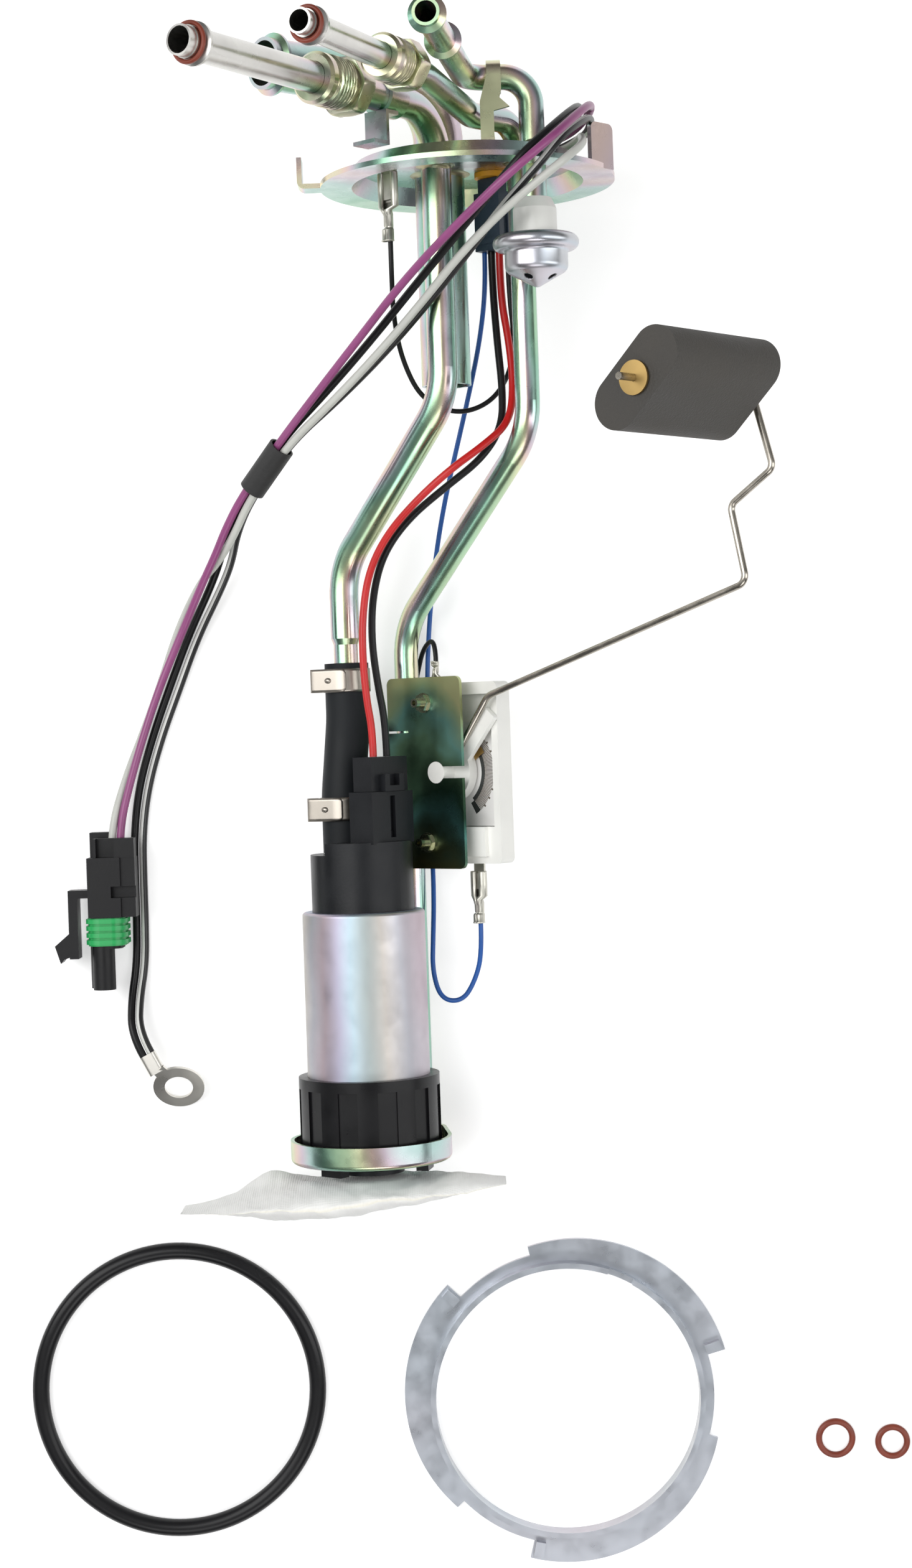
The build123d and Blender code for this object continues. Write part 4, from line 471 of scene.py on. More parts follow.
def nut_rows(thread_r, across_flats, length, bore):
    """Rings of points from the nut's foot up through its thread to its hexagon."""
    hex_from = length - HEX_L
    thread_end = hex_from - RUN_OUT
    root, lead = thread_r - 1.0, thread_r - 0.1
    corner = across_flats * 0.555
    inner = across_flats / 2 * 0.98
    outline = [
        (bore, 0.0), (root, 0.0), (lead, 0.9), (lead, LEAD_END), (root, GROOVE_FROM), (root, GROOVE_END),
    ]
    rings = [(height, [radius] * NUT_AROUND) for radius, height in outline]
    for i in range(THREAD_STEPS + 1):
        height = THREAD_FROM + (thread_end - THREAD_FROM) * i / THREAD_STEPS
        fade = max(0.0, min(1.0, (height - THREAD_FROM) / FADE, (thread_end - height) / FADE))
        ring = []
        for step in range(NUT_AROUND):
            crest = 1.0 - abs(2 * ((height / PITCH - step / NUT_AROUND) % 1.0) - 1)
            ring.append(thread_r - 0.95 + 0.93 * fade * min(1.0, crest * 1.25))
        rings.append((height, ring))
    rings += [(height, [thread_r - 0.9] * NUT_AROUND) for height in (hex_from - 0.9, hex_from)]
    head = [(0.0, hex_from), (0.6, hex_from + 0.05), (1.0, hex_from + 1.2),
            (1.0, length - 1.2), (0.6, length - 0.05), (0.0, length)]
    for share, height in head:
        ring = []
        for step in range(NUT_AROUND):
            angle = (math.tau * step / NUT_AROUND) % (math.pi / 3) - math.pi / 6
            flat = min(across_flats / 2 / math.cos(angle), corner)
            ring.append(inner + (flat - inner) * share)
        rings.append((height, ring))
    rings.append((length, [bore] * NUT_AROUND))
    return [[(*polar(radius, math.tau * step / NUT_AROUND), height) for step, radius in enumerate(ring)]
            for height, ring in rings]


def male_nut(name, node, body, tip, knee, at, thread_r, across_flats, length, pipe_r):
    way = (Vector(knee) - Vector(tip)).normalized()
    place = axes_at(Vector(tip) + way * at, way, (0, 0, 1))

    def build(shape):
        rows = nut_rows(thread_r, across_flats, length, pipe_r + 0.08)
        add_grid(shape, rows, around=True, closed=True)
        bmesh.ops.transform(shape, matrix=place, verts=shape.verts)

    piece = mesh_piece(name, body, nut_zinc, build)
    piece.data.set_sharp_from_angle(angle=math.radians(38))
    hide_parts(node)


nut_zinc = plated("nut_zinc", [
    (0.0, (0.50, 0.48, 0.32)), (0.3, (0.60, 0.56, 0.36)), (0.55, (0.52, 0.44, 0.40)),
    (0.8, (0.40, 0.48, 0.32)), (1.0, (0.50, 0.48, 0.32)),
], 0.24, drift_scale=40.0)
male_nut("supply_nut_threaded", "supply_nut", "supply_fitting", SUPPLY_TIP, SUPPLY_KNEE,
         at=61.0, thread_r=8.0, across_flats=17.0, length=20.0, pipe_r=4.765)
male_nut("return_nut_threaded", "return_nut", "return_fitting", RETURN_TIP, RETURN_KNEE,
         at=46.0, thread_r=7.0, across_flats=14.3, length=17.5, pipe_r=3.97)


# Rings on the pipe noses, and the two spares. Moulded fluorocarbon rubber, red-brown with a slight shine.
ring_rubber = moulded("ring_rubber", (0.19, 0.032, 0.014), 0.40, cloud=200.0)
finish(ring_rubber, "supply_o_ring", "return_o_ring", "spare_o_rings")


# Wiring seal, its plug and the ground tab in the flange. The seal is soft orange rubber, the plug below
# it dark blue nylon, and the tab is tinned.
finish(moulded("orange_seal", (0.78, 0.36, 0.02), 0.50), "feedthrough_seal")
finish(moulded("navy_nylon", (0.026, 0.042, 0.066), 0.44), "feedthrough_connector")
tinned = moulded("tinned", (0.56, 0.55, 0.49), 0.40, 1.0, 0.10, 220.0)


# Push-on terminals. Stamped from thin tinned strip: a box with rolled edges takes the blade, and behind it
# one pair of wings grips the bare strands and a wider pair the covering.
def rolled(t, half, roll):
    """The open box's section: a flat back with both edges rolled forward."""
    if abs(t) < 0.5:
        return (t / 0.5) * (half - roll), 0.0
    bend = (abs(t) - 0.5) / 0.5 * math.pi * 1.35
    side = math.copysign(1, t)
    return side * (half - roll + roll * math.sin(bend)), -roll * (1 - math.cos(bend))


def wrapped(t, radius, dent):
    """A crimped barrel's section: closed round, with its seam pressed in at the front."""
    bend = math.pi * t * 0.98
    r = radius * (1 - dent * max(0.0, abs(t) - 0.75) / 0.25)
    return r * math.sin(bend), -radius + r * math.cos(bend)


CHEEK = 1.8
FLOOR_UP = 0.9


def terminal_rows(width, box, barrel, barrel_r):
    """Sections from the foot of the wire upwards; kind runs from 0, an open box, to 1, a closed barrel."""
    grip = barrel * 0.42
    bare_r = barrel_r * 0.80
    box_foot = barrel + CHEEK
    stops = [
        (0.0, 1, barrel_r * 1.12, 0.1), (0.4, 1, barrel_r, 0.3), (grip - 0.3, 1, barrel_r, 0.3),
        (grip, 1, barrel_r * 0.94, 0.1), (grip + 0.5, 1, barrel_r * 0.66, 0.1),
        (grip + 0.9, 1, bare_r, 0.4), (barrel - 0.9, 1, bare_r, 0.4),
        (barrel - 0.4, 1, barrel_r * 0.86, 0.1), (barrel + 0.8, 0.5, width * 0.26, 0.0),
        (barrel + 2.0, 0, width / 2, 0.0), (box_foot + box * 0.5, 0, width / 2, 0.0),
        (box_foot + box - 0.4, 0, width / 2, 0.0), (box_foot + box, 0, width / 2 * 0.97, 0.0),
    ]
    rows = []
    for height, kind, size, dent in stops:
        row = []
        for i in range(29):
            t = -1 + 2 * i / 28
            open_x, open_y = rolled(t, size if kind == 0 else width * 0.3, min(1.25, width * 0.2))
            shut_x, shut_y = wrapped(t, size, dent)
            x = shut_x * kind + open_x * (1 - kind)
            y = (shut_y + size * kind) * kind + open_y * (1 - kind) + (FLOOR_UP - size * kind)
            row.append((x, y, height))
        rows.append(row)
    return rows


def add_slab(shape, low, high):
    """A flat blade or tab between two corners."""
    made = bmesh.ops.create_cube(shape, size=1.0)["verts"]
    size = Vector(high) - Vector(low)
    middle = (Vector(high) + Vector(low)) / 2
    bmesh.ops.scale(shape, vec=size, verts=made)
    bmesh.ops.translate(shape, vec=middle, verts=made)


def thicken(piece, thickness, offset):
    sheet = piece.modifiers.new("sheet", "SOLIDIFY")
    sheet.thickness = thickness * MM
    sheet.offset = offset


def terminal(name, node, place, width, blade, box, barrel, barrel_r):
    def build_strip(shape):
        add_grid(shape, terminal_rows(width, box, barrel, barrel_r))
        bmesh.ops.transform(shape, matrix=place, verts=shape.verts)

    strip = mesh_piece(name, "module", tinned, build_strip)
    thicken(strip, 0.34, -1)
    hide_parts(node)

    def build_blade(shape):
        top = barrel + CHEEK + box + blade
        add_slab(shape, (-width * 0.40, 0.1, barrel + 3.4), (width * 0.40, 0.75, top))
        if box > 4:
            add_slab(shape, (-width * 0.30, -0.75, barrel + 4.2), (width * 0.30, -0.45, barrel + 1.2 + box))
        bmesh.ops.transform(shape, matrix=place, verts=shape.verts)

    piece = mesh_piece(name + "_blade", "module", tinned, build_blade, smooth=False)
    soften = piece.modifiers.new("edges", "BEVEL")
    soften.width = 0.12 * MM
    soften.segments = 2


LEAN = math.radians(41.0)
ACROSS = Vector((math.cos(LEAN), 0, math.sin(LEAN)))
FRONT = Vector((-math.sin(LEAN), 0, math.cos(LEAN)))
UP = Vector((0, 1, 0))


def facing_front(origin, up=UP):
    """X across the module, Z up or down along it, and -Y to its front."""
    across = ACROSS if up == UP else -ACROSS
    place = Matrix((across, up.cross(across), up)).transposed().to_4x4()
    place.translation = Vector(origin)
    return place


GROUND_FOOT = (-24.9, -20.3, 10.0)
terminal("ground_terminal_strip", "ground_terminal", facing_front(GROUND_FOOT),
         width=7.8, blade=2.45, box=11.0, barrel=8.8, barrel_r=1.9)


# Fuel hose and its two clamps. The hose is black nitrile rubber. Each clamp is a steel band wrapped once
# round it, whose outer end lies over the inner one, runs off in a folded tail and is held by a raised tooth.
hose_rubber = moulded("hose_rubber", (0.010, 0.012, 0.014), 0.55, cloud=45.0, grain=420.0, depth=0.00008)
finish(hose_rubber, "fuel_hose")

CLAMP_FEET = ((-44.8, -161.0, -26.0), (-47.18, -202.9, -25.94))
CLAMP_TURN = math.radians(-25)
CLAMP_R = 7.45
CLAMP_W = 7.6
CLAMP_STEPS = 72
STRAP_R = CLAMP_R + 0.85
STRAP_FROM, STRAP_TO = 3.4, -8.4
STRAP_STEPS = 8
FOLD_R = 0.75
FOLD_BACK = 2.6
CORNER = 1.3
TOOTH_AT = -2.6
TOOTH_HALF = (1.25, 0.75, 0.95)


def clamp_place(foot):
    """Where a clamp drawn up +Z stands: along +Y from its foot, its strap in front and turned left."""
    place = Matrix(((1, 0, 0), (0, 0, 1), (0, -1, 0))).to_4x4()
    place.translation = Vector(foot)
    return place @ Matrix.Rotation(CLAMP_TURN, 4, "Z")


def strap_path():
    """The outer end seen along the hose: round from its tip, straight off, and folded back under."""
    path = []
    for i in range(STRAP_STEPS + 1):
        x = STRAP_FROM * (1 - i / STRAP_STEPS)
        path.append((x, -math.sqrt(STRAP_R ** 2 - x ** 2)))
    for i in range(1, STRAP_STEPS + 1):
        path.append((STRAP_TO * i / STRAP_STEPS, -STRAP_R))
    for i in range(1, STRAP_STEPS + 1):
        out, up = polar(FOLD_R, -math.pi / 2 - math.pi * i / STRAP_STEPS)
        path.append((STRAP_TO + out, -STRAP_R + FOLD_R + up))
    path.append((STRAP_TO + FOLD_BACK, -STRAP_R + 2 * FOLD_R))
    return path


def build_clamps(shape):
    for foot in CLAMP_FEET:
        here = len(shape.verts)
        band = []
        for i in range(CLAMP_STEPS):
            x, y = polar(CLAMP_R, math.tau * i / CLAMP_STEPS)
            band.append([(x, y, CLAMP_W * k / STRAP_STEPS) for k in range(STRAP_STEPS + 1)])
        add_grid(shape, band, closed=True)
        rows = []
        for at, depth in strap_path():
            trim = 0.0
            if at > STRAP_FROM - CORNER:
                trim = CORNER - math.sqrt(max(0.0, CORNER ** 2 - (at - STRAP_FROM + CORNER) ** 2))
            width = CLAMP_W - 2 * trim
            across = [CLAMP_W / 2 + width * (k / STRAP_STEPS - 0.5) for k in range(STRAP_STEPS + 1)]
            rows.append([(at, depth, height) for height in across])
        add_grid(shape, rows)
        shape.verts.ensure_lookup_table()
        bmesh.ops.transform(shape, matrix=clamp_place(foot), verts=shape.verts[here:])


def build_teeth(shape):
    for foot in CLAMP_FEET:
        tooth = bmesh.ops.create_uvsphere(shape, u_segments=24, v_segments=12, radius=1.0)["verts"]
        bmesh.ops.scale(shape, vec=TOOTH_HALF, verts=tooth)
        bmesh.ops.translate(shape, vec=(TOOTH_AT, -STRAP_R - 0.15, CLAMP_W / 2), verts=tooth)
        bmesh.ops.transform(shape, matrix=clamp_place(foot), verts=tooth)


clamp_steel = moulded("clamp_steel", (0.36, 0.33, 0.29), 0.30, 1.0, 0.10, 120.0)
clamps = mesh_piece("hose_clamp_bands", "module", clamp_steel, build_clamps)
thicken(clamps, 0.5, 0)
mesh_piece("hose_clamp_teeth", "module", clamp_steel, build_teeth)
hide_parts("hose_clamps")


# Pump. The can is drawn steel, plated clear, with faint pink and blue bands that drift over it and, as
# painted sheen, follow the way it faces. Its end cap and the plug are glass-filled nylon, and everything
# inside is plain motor work that nobody sees.
# The can's bands are partly painted sheen, set by the way its surface faces the lean.
pump_zinc = plated("pump_zinc", [
    (0.00, (0.46, 0.46, 0.50)), (0.18, (0.50, 0.42, 0.46)), (0.36, (0.46, 0.44, 0.55)),
    (0.52, (0.40, 0.50, 0.56)), (0.68, (0.46, 0.52, 0.52)), (0.84, (0.50, 0.47, 0.44)),
    (1.00, (0.46, 0.46, 0.50)),
], 0.46, 0.000006, drift_share=0.8, turn_share=0.9, lean=(0.75, 0.0, 0.25))
finish(pump_zinc, "pump_can")
cap_nylon = moulded("cap_nylon", (0.010, 0.011, 0.013), 0.36, cloud=80.0, grain=1100.0, depth=0.00004)
finish(cap_nylon, "pump_end_cap", "pump_plug", "strainer_neck")
finish(moulded("ferrite", (0.045, 0.045, 0.05), 0.55), "pump_magnets", "pump_brushes")
finish(moulded("shaft_steel", (0.56, 0.56, 0.56), 0.25, 1.0), "pump_shaft")
finish(moulded("windings", (0.45, 0.18, 0.08), 0.40, 1.0), "pump_armature")
finish(moulded("grey_resin", (0.28, 0.29, 0.30), 0.5), "pump_impeller", "pump_chamber", "pump_base")


# Isolator. A thick moulded rubber cup that holds the can in its cradle and keeps its hum from the tank.
isolator_black = (0.007, 0.007, 0.008)
isolator_rubber = moulded("isolator_rubber", isolator_black, 0.30, cloud=70.0, grain=700.0, depth=0.00002)
finish(isolator_rubber, "pump_isolator")


# Strainer. A bag of fine woven filter cloth, white, heat-sealed round its edge and slack between, with its
# top pulled down round the moulded neck and one corner pushed up behind the cradle.
def through(x, points):
    """The height at x of the parabola through three points."""
    (x0, y0), (x1, y1), (x2, y2) = points
    return (y0 * (x - x1) * (x - x2) / ((x0 - x1) * (x0 - x2))
            + y1 * (x - x0) * (x - x2) / ((x1 - x0) * (x1 - x2))
            + y2 * (x - x0) * (x - x1) / ((x2 - x0) * (x2 - x1)))


def hump(x, middle, width):
    return math.exp(-((x - middle) / width) ** 2)


SOCK_LEFT, SOCK_RIGHT = -104.0, 1.5
SOCK_TOP = ((SOCK_LEFT, -327.5), (-46.0, -317.6), (SOCK_RIGHT, -321.5))
SOCK_LOW = ((SOCK_LEFT, -327.7), (-53.0, -331.6), (SOCK_RIGHT, -321.7))
NECK_X, NECK_Z = -41.80, -19.93
UNDER_CRADLE_R, UNDER_CRADLE_Y = 27.5, -318.9
SOCK_ALONG, SOCK_AROUND = 150, 96


def build_strainer(shape):
    seam = shape.verts.layers.float.new("seam")
    middle, half = (SOCK_LEFT + SOCK_RIGHT) / 2, (SOCK_RIGHT - SOCK_LEFT) / 2
    rows = []
    for i in range(SOCK_ALONG + 1):
        x = SOCK_LEFT + (SOCK_RIGHT - SOCK_LEFT) * i / SOCK_ALONG
        share = (x - middle) / half
        depth = 8.4 + 16.8 * (1 - share * share)
        top, low = through(x, SOCK_TOP), through(x, SOCK_LOW)
        fill = (1 - abs(share) ** 3) ** 0.8 + 0.02
        thick = (top - low) / 2 * fill
        row = []
        for k in range(SOCK_AROUND):
            side, rise = polar(1.0, math.tau * k / SOCK_AROUND)
            z = NECK_Z + depth * side
            y = (top + low) / 2 + thick * rise * (1 - 0.25 * side ** 6)
            cloth = noise.noise(Vector((x * 0.045, rise * 0.9, z * 0.05)))
            fold = noise.noise(Vector((x * 0.16, rise * 1.5 + 7, z * 0.09)))
            crease = noise.noise(Vector((x * 0.5, rise + 3, z * 0.35)))
            y += thick * 0.28 * cloth + min(thick, 2.2) * (0.34 * fold + 0.10 * crease)
            if rise > 0:
                y += 5.2 * rise * hump(x, -75.5, 8.0) * hump(z, NECK_Z - 9.0, 11.0)
                y += 2.2 * rise * hump(x, -10.0, 12.0) * hump(z, NECK_Z + 4.0, 16.0)
                away = math.hypot(x - NECK_X, z - NECK_Z)
                y -= 1.8 * hump(away, 14.0, 8.0) * rise
                if away < UNDER_CRADLE_R:
                    y = min(y, UNDER_CRADLE_Y + 0.9 * max(0.0, away - 12) / 4)
            else:
                y += 3.4 * -rise * max(0.0, side) * (1 - share * share)
            row.append((x, y, z))
        rows.append(row)
    made = add_grid(shape, rows, around=True)
    shape.faces.new(list(reversed(made[0])))
    shape.faces.new(made[-1])
    for row in made:
        for k, vert in enumerate(row):
            vert[seam] = max(0.0, 1 - abs(math.sin(math.tau * k / SOCK_AROUND)) / 0.16)


def filter_cloth():
    material, tree, shader = new_material("filter_cloth", 0.8)
    drift, skin = wear(tree, 35.0, 500.0)
    plain = colour_ramp(tree, drift, [(0.3, (0.88, 0.88, 0.86)), (0.7, (0.94, 0.94, 0.92))])
    mark = tree.nodes.new("ShaderNodeAttribute")
    mark.attribute_name = "seam"
    pressed = calculate(tree, "MULTIPLY", mark.outputs["Fac"], 0.6)
    tree.links.new(blend(tree, pressed, plain, (0.74, 0.70, 0.56, 1)), shader.inputs["Base Color"])
    shader.inputs["Sheen Weight"].default_value = 0.25
    lie = {"Vector": object_place(tree), "Scale": 420.0}
    threads = []
    for direction in ("X", "Z"):
        wave = add_node(tree, "ShaderNodeTexWave", lie, bands_direction=direction)
        threads.append(wave.outputs["Fac"])
    weave = calculate(tree, "ADD", calculate(tree, "ADD", *threads), skin)
    set_bump(tree, shader, weave, 0.7, 0.00006)
    return material


strainer = mesh_piece("strainer_bag", "module", filter_cloth(), build_strainer)
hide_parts("strainer_sock")


# Level sender. A stamped plate in a darker, teal and olive plating carries a white nylon body; two studs hold
# it, and the plate has a burn mark where its slit was tacked to the return pipe.
KEYHOLE = (-16.749, -188.3, -24.363)
SENDER = Matrix((ACROSS, UP, FRONT)).transposed().to_4x4()
SENDER.translation = Vector(KEYHOLE)


PLATE_MIDDLE, BURN_AT = (-4.5, 0, 0), (-19.6, 13.6, 0)
TURNS_UP, TURNS_ACROSS = 15.5, 28.0
BURN_FROM, BURN_TO = 0.0008, 0.0042


def sender_zinc():
    """The film runs in bands down the plate, bent towards its edges, with a burn at the slit."""
    material, tree, shader = new_material("sender_zinc", 0.3, 1.0)
    middle = SENDER @ Vector(PLATE_MIDDLE) * MM
    up = calculate(tree, "MULTIPLY", run_along(tree, middle, UP), TURNS_UP)
    side = calculate(tree, "MULTIPLY", run_along(tree, middle, ACROSS), TURNS_ACROSS)
    drift, skin = wear(tree, 45.0, 900.0)
    film = calculate(tree, "ADD", up, calculate(tree, "MULTIPLY", side, side))
    film = calculate(tree, "ADD", film, calculate(tree, "MULTIPLY", drift, 0.5))
    film = calculate(tree, "ADD", film, 0.20)
    tint = colour_ramp(tree, film, [
        (0.00, (0.17, 0.18, 0.07)), (0.12, (0.08, 0.14, 0.09)), (0.24, (0.09, 0.24, 0.22)),
        (0.38, (0.03, 0.08, 0.05)), (0.50, (0.07, 0.14, 0.08)), (0.62, (0.15, 0.28, 0.17)),
        (0.76, (0.19, 0.42, 0.36)), (0.90, (0.29, 0.41, 0.24)), (1.00, (0.42, 0.46, 0.24)),
    ])
    burn = {0: object_place(tree), 1: SENDER @ Vector(BURN_AT) * MM}
    away = add_node(tree, "ShaderNodeVectorMath", burn, operation="DISTANCE")
    burnt = ranged(tree, away.outputs["Value"], BURN_FROM, BURN_TO, 0.85, 0.0)
    tree.links.new(blend(tree, burnt, tint, (0.030, 0.026, 0.022, 1)), shader.inputs["Base Color"])
    set_roughness(tree, shader, drift, 0.26, 0.38)
    set_bump(tree, shader, skin, 0.3, 0.000006)
    return material


finish(sender_zinc(), "sender_plate")
finish(nut_zinc, "sender_screws")
white_nylon = moulded("white_nylon", (0.84, 0.84, 0.80), 0.36, mottle=0.03, cloud=50.0, grain=600.0)
finish(white_nylon, "sender_body", "wiper_carrier", "vent_valve_collar", "vent_valve_float")
finish(moulded("card_ceramic", (0.82, 0.81, 0.79), 0.45, mottle=0.02), "resistor_card")
finish(moulded("contact_brass", (0.50, 0.34, 0.13), 0.35, 1.0), "wiper_contact", "float_washer")
upper_foot = SENDER @ Vector((-4.8, 36.4, -7.4))
lower_foot = SENDER @ Vector((8.7, -49.8, -9.8))
terminal("lower_terminal_strip", "sender_terminals", facing_front(lower_foot),
         width=5.6, blade=5.0, box=8.2, barrel=7.0, barrel_r=1.6)
terminal("upper_terminal_strip", "sender_terminals", facing_front(upper_foot, -UP),
         width=4.2, blade=2.6, box=1.6, barrel=3.2, barrel_r=1.3)


# Resistor card. Thick-film ink on white ceramic: a dark track that the wiper's points run on, and a comb
# of fine conductors that leads outwards from it, with trimming pads on some of its teeth.
INK_T = 0.06


def comb_tree():
    tree = bpy.data.node_groups.new("comb", "GeometryNodeTree")
    sockets = {}
    for name, kind in (("Teeth", "Int"), ("From", "Float"), ("Step", "Float"), ("Radius", "Float"),
                       ("Length", "Float"), ("Width", "Float"), ("Ink", "Material")):
        socket = tree.interface.new_socket(name, in_out="INPUT", socket_type="NodeSocket" + kind)
        sockets[name] = socket.identifier
    tree.interface.new_socket("Mesh", in_out="OUTPUT", socket_type="NodeSocketGeometry")
    entry = tree.nodes.new("NodeGroupInput").outputs
    leave = tree.nodes.new("NodeGroupOutput")
    line = add_node(tree, "GeometryNodeMeshLine", {"Offset": (0, 0, 0), "Count": entry["Teeth"]})
    index = tree.nodes.new("GeometryNodeInputIndex")
    stepped = calculate(tree, "MULTIPLY", index.outputs["Index"], entry["Step"])
    angle = calculate(tree, "ADD", stepped, entry["From"])
    across = calculate(tree, "MULTIPLY", calculate(tree, "COSINE", angle), entry["Radius"])
    along = calculate(tree, "MULTIPLY", calculate(tree, "SINE", angle), entry["Radius"])
    spot = add_node(tree, "ShaderNodeCombineXYZ", {"X": across, "Y": along})
    points = add_node(tree, "GeometryNodeSetPosition", {
        "Geometry": line.outputs["Mesh"], "Position": spot.outputs["Vector"],
    })
    size = add_node(tree, "ShaderNodeCombineXYZ", {"X": entry["Length"], "Y": entry["Width"], "Z": INK_T})
    tooth = add_node(tree, "GeometryNodeMeshCube", {"Size": size.outputs["Vector"]})
    spin = add_node(tree, "ShaderNodeCombineXYZ", {"Z": angle})
    copies = add_node(tree, "GeometryNodeInstanceOnPoints", {
        "Points": points.outputs["Geometry"], "Instance": tooth.outputs["Mesh"],
        "Rotation": spin.outputs["Vector"],
    })
    real = add_node(tree, "GeometryNodeRealizeInstances", {"Geometry": copies.outputs["Instances"]})
    paint = add_node(tree, "GeometryNodeSetMaterial", {
        "Geometry": real.outputs["Geometry"], "Material": entry["Ink"],
    })
    tree.links.new(paint.outputs["Geometry"], leave.inputs["Mesh"])
    return tree, sockets


COMB, COMB_SOCKETS = comb_tree()


def repeated(name, tree, sockets, values, place, body):
    """Runs a tree with its named sizes, in millimetres, and keeps the result as a plain mesh in its place."""
    seed = add_object(name + "_seed", bpy.data.meshes.new(name + "_seed"))
    modifier = seed.modifiers.new("repeat", "NODES")
    modifier.node_group = tree
    for socket, value in values.items():
        modifier[sockets[socket]] = value
    graph = bpy.context.evaluated_depsgraph_get()
    mesh = bpy.data.meshes.new_from_object(seed.evaluated_get(graph))
    seed.modifiers.clear()
    bpy.data.objects.remove(seed)
    mesh.transform(Matrix.Scale(MM, 4) @ place)
    piece = add_object(name, mesh)
    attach(piece, body)
    return piece


silver_ink = moulded("silver_ink", (0.13, 0.11, 0.085), 0.45, 0.0, 0.12, 300.0)
track_ink = moulded("track_ink", (0.030, 0.034, 0.032), 0.5)
on_card = SENDER @ Matrix.Translation((0, 0, -9.98))
FIRST, LAST, TEETH, PADS = math.radians(-50.0), math.radians(38.0), 52, 8
repeated("card_comb", COMB, COMB_SOCKETS, {
    "Teeth": TEETH, "From": FIRST, "Step": (LAST - FIRST) / (TEETH - 1),
    "Radius": 14.2, "Length": 4.4, "Width": 0.27, "Ink": silver_ink,
}, on_card, "module")
repeated("card_pads", COMB, COMB_SOCKETS, {
    "Teeth": PADS, "From": FIRST + 0.12, "Step": (LAST - FIRST - 0.2) / (PADS - 1),
    "Radius": 16.6, "Length": 0.8, "Width": 0.6, "Ink": silver_ink,
}, on_card, "module")

TRACK = (11.2, 12.5, FIRST - 0.03, LAST + 0.02)
END_PAD = (12.2, 16.2, FIRST - 0.16, FIRST - 0.02)
TRACK_T = 0.05
TRACK_STEPS = 60
JAG = 0.16


def build_track(shape):
    for inner, outer, start, end in (TRACK, END_PAD):
        rows = []
        for i in range(TRACK_STEPS + 1):
            turn = start + (end - start) * i / TRACK_STEPS
            rim = polar(outer + JAG * (i % 2), turn)
            foot = polar(inner, turn)
            rows.append([(*rim, 0.0), (*rim, TRACK_T), (*foot, TRACK_T), (*foot, 0.0)])
        made = add_grid(shape, rows, around=True)
        shape.faces.new(made[0])
        shape.faces.new(list(reversed(made[-1])))
    bmesh.ops.transform(shape, matrix=on_card, verts=shape.verts)


mesh_piece("card_track", "module", track_ink, build_track, smooth=False)


# Float and its arm. The arm is bright spring-steel wire, bent cold. The float is closed-cell foam rubber,
# skived to an oval bar, with a brass washer where the wire comes out.
finish(moulded("arm_steel", (0.42, 0.39, 0.34), 0.24, 1.0, 0.12, 150.0), "float_wire")


def foam():
    material, tree, shader = new_material("float_foam", 0.78)
    drift, skin = wear(tree, 45.0, 1300.0)
    set_colour(tree, shader, drift, [(0.3, (0.040, 0.037, 0.033)), (0.7, (0.062, 0.057, 0.050))])
    cells = add_node(tree, "ShaderNodeTexVoronoi", {"Vector": object_place(tree), "Scale": 1500.0})
    set_bump(tree, shader, calculate(tree, "ADD", cells.outputs["Distance"], skin), 0.8, 0.00012)
    set_roughness(tree, shader, drift, 0.62, 0.80)
    return material


finish(foam(), "float")


# Vent valve. A white nylon collar pushed on the vent pipe, and a drawn steel can with a rolled brim and
# four round ports in its cone. The loose lock ring is pressed steel with the same clear plating.
clear_zinc = plated("clear_zinc", [
    (0.00, (0.50, 0.52, 0.54)), (0.25, (0.53, 0.50, 0.54)), (0.5, (0.48, 0.52, 0.57)),
    (0.75, (0.52, 0.51, 0.51)), (1.00, (0.50, 0.52, 0.54)),
], 0.32, drift_share=0.4, turn_share=0.6)
finish(clear_zinc, "lock_ring")

BRIM_R, BRIM_ROLL, BRIM_DEPTH = 11.1, 2.3, 2.35
CUP_R, CUP_DEPTH = 9.8, 9.4
KNUCKLE_AT, KNUCKLE_R = 7.2, 2.6
TIP_R, TIP_DEPTH = 1.4, 15.6
CONE_STEPS = 24
CAN_AROUND = 144
PORT_R, PORT_CUT, PORT_NEAR = 1.4, 1.3, 2.2
PORT_AT, PORT_TURN = 5.5, 31
CAN_TOP = (20.3, -22.35, 23.0)


def valve_outline():
    """The can's outline down from its rolled brim to its blunt tip, as (radius, depth)."""
    outline = [(2.97, 0.0), (9.0, 0.0)]
    for i in range(17):
        out, down = polar(BRIM_ROLL, math.radians(-85 + 170 * i / 16))
        outline.append((BRIM_R + out, BRIM_DEPTH + down))
    outline += [(10.4, 4.8), (9.95, 5.2), (CUP_R, 5.8), (CUP_R, CUP_DEPTH)]
    for i in range(1, 9):
        out, down = polar(KNUCKLE_R, math.radians(58 * i / 8))
        outline.append((KNUCKLE_AT + out, CUP_DEPTH + down))
    r, depth = outline[-1]
    for i in range(1, CONE_STEPS + 1):
        outline.append((r + (TIP_R - r) * i / CONE_STEPS, depth + (TIP_DEPTH - depth) * i / CONE_STEPS))
    return outline + [(0.8, 15.9), (0.2, 16.0)]


